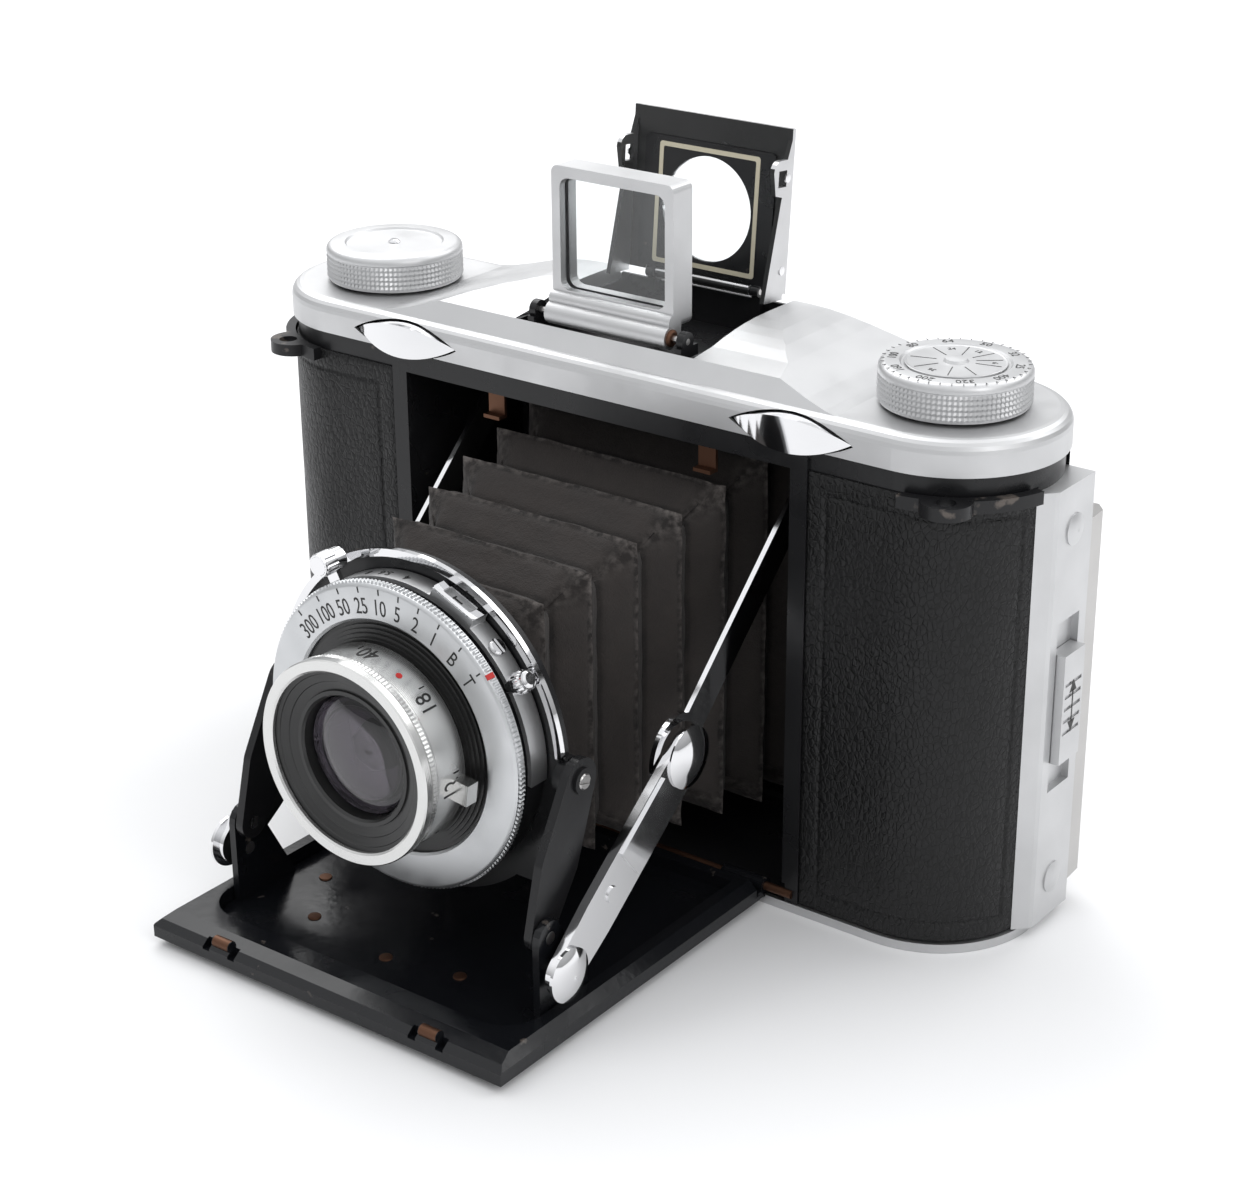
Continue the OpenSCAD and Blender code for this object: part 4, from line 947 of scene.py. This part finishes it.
def hardware():
    """Slotted pivots of the links, rivets in the bed, arrow on the latch."""
    link_side = span("link_right")[1].x + 0.05 * MM
    pivot = joint_place("standard_pivot")
    heads = [screw(facing((side, 0, 0), (0, 0.3, 1), (side * link_side, pivot[1], pivot[2])),
                   1.25 * MM, 0.2 * MM) for side in (-1, 1)]
    piece("link_screws", *join(*heads), STEEL, "link", "steel")
    bed_low = span("front_door")[0]
    floor_z = bed_low.z + 1.3 * MM
    studs = [revolve([(0, -0.1 * MM), (1.1 * MM, -0.1 * MM), (1.0 * MM, 0.22 * MM), (0, 0.34 * MM)],
                     28, upright(x * MM, y * MM, floor_z))
             for x, y in ((-17, -66), (0, -68.5), (12.5, -66), (23, -60), (-24, -56))]
    piece("bed_rivets", *join(*studs), RUST_BRASS, "door", "worn_brass")
    worn = []
    for side in (-1, 1):
        at = Vector((side * 20.6 * MM - 1.6 * MM, bed_low.y + 1.3 * MM, 4.2 * MM))
        worn.append(revolve([(0, 0), (0.93 * MM, 0), (0.93 * MM, 3.2 * MM), (0, 3.2 * MM)], 28,
                            facing((1, 0, 0), (0, 0, 1), at)))
    piece("bed_tab_wear", *join(*worn), RUST_BRASS, "door", "worn_brass")
    slider_low, slider_high = span("latch_slider")
    mid = (slider_low + slider_high) / 2
    arrow = facing((1, 0, 0), (0, 0, 1), (slider_high.x - 0.02 * MM, mid.y, mid.z))
    thick = 0.08 * MM
    shapes = [bent(tick(0.35 * MM, 5.4 * MM, thick), lambda v: arrow @ v)]
    for s in (-1, 1):
        head = [(0, s * 4.4), (-1.1, s * 2.4), (1.1, s * 2.4)]
        if s < 0:
            head = head[::-1]
        verts = [arrow @ Vector((x * MM, y * MM, z)) for z in (-thick / 2, thick / 2)
                 for x, y in head]
        shapes.append((verts, [[2, 1, 0], [3, 4, 5], [0, 1, 4, 3], [1, 2, 5, 4], [2, 0, 3, 5]]))
    piece("latch_arrow", *join(*shapes), BLACK_PAINT, "latch", "satin_chrome")


hardware()


# ---------------------------------------------------------------- stage, light and camera

def stage():
    mesh = bpy.data.meshes.new("floor")
    reach = 6.0
    mesh.from_pydata([(-reach, -reach, 0), (reach, -reach, 0), (reach, reach, 0),
                      (-reach, reach, 0)], [], [[0, 1, 2, 3]])
    floor = bpy.data.objects.new("floor", mesh)
    floor.location.z = -0.00005
    bpy.context.scene.collection.objects.link(floor)
    mat = shader("floor_white", (0.86, 0.86, 0.865), 0.55, **{"Specular IOR Level": 0.2})
    feed(mat, {"Roughness": remap(mat, clouds(mat, 30), 0.3, 0.7, 0.5, 0.6)})
    mesh.materials.append(mat)


def soft_light(name, place, target, size, watts):
    lamp = bpy.data.lights.new(name, "AREA")
    lamp.shape = "RECTANGLE"
    lamp.size, lamp.size_y = size
    lamp.energy = watts
    made = bpy.data.objects.new(name, lamp)
    made.location = place
    made.rotation_euler = (Vector(target) - Vector(place)).to_track_quat("-Z", "Y").to_euler()
    bpy.context.scene.collection.objects.link(made)


def studio():
    world = bpy.data.worlds.new("studio")
    world.use_nodes = True
    back = world.node_tree.nodes["Background"]
    back.inputs["Color"].default_value = (0.975, 0.985, 1.0, 1)
    toward = node(world, "ShaderNodeTexCoord").outputs["Generated"]
    height = node(world, "ShaderNodeSeparateXYZ", {0: toward}).outputs["Z"]
    level = remap(world, height, 0.0, 0.7, 0.38, 1.12)
    world.node_tree.links.new(level, back.inputs["Strength"])
    bpy.context.scene.world = world
    soft_light("key", (-0.65, 0.35, 0.95), (0, 0, 0.04), (0.9, 0.9), 6.0)
    soft_light("rear", (0.35, 0.8, 0.9), (0, 0, 0.05), (0.9, 0.6), 3.0)
    soft_light("side", (0.9, -0.25, 0.55), (0, 0, 0.05), (0.35, 0.6), 1.6)
    bpy.context.scene.view_settings.view_transform = "Standard"


def camera():
    data = bpy.data.cameras.new("camera")
    data.sensor_width = 36
    data.lens = 74.49
    data.shift_x = -0.0323
    data.clip_start = 0.01
    made = bpy.data.objects.new("camera", data)
    made.location = (0.2325176, -0.3147132, 0.2079573)
    made.rotation_euler = (math.radians(66.435), 0, math.radians(36.2036))
    bpy.context.scene.collection.objects.link(made)
    bpy.context.scene.camera = made


stage()
studio()
camera()
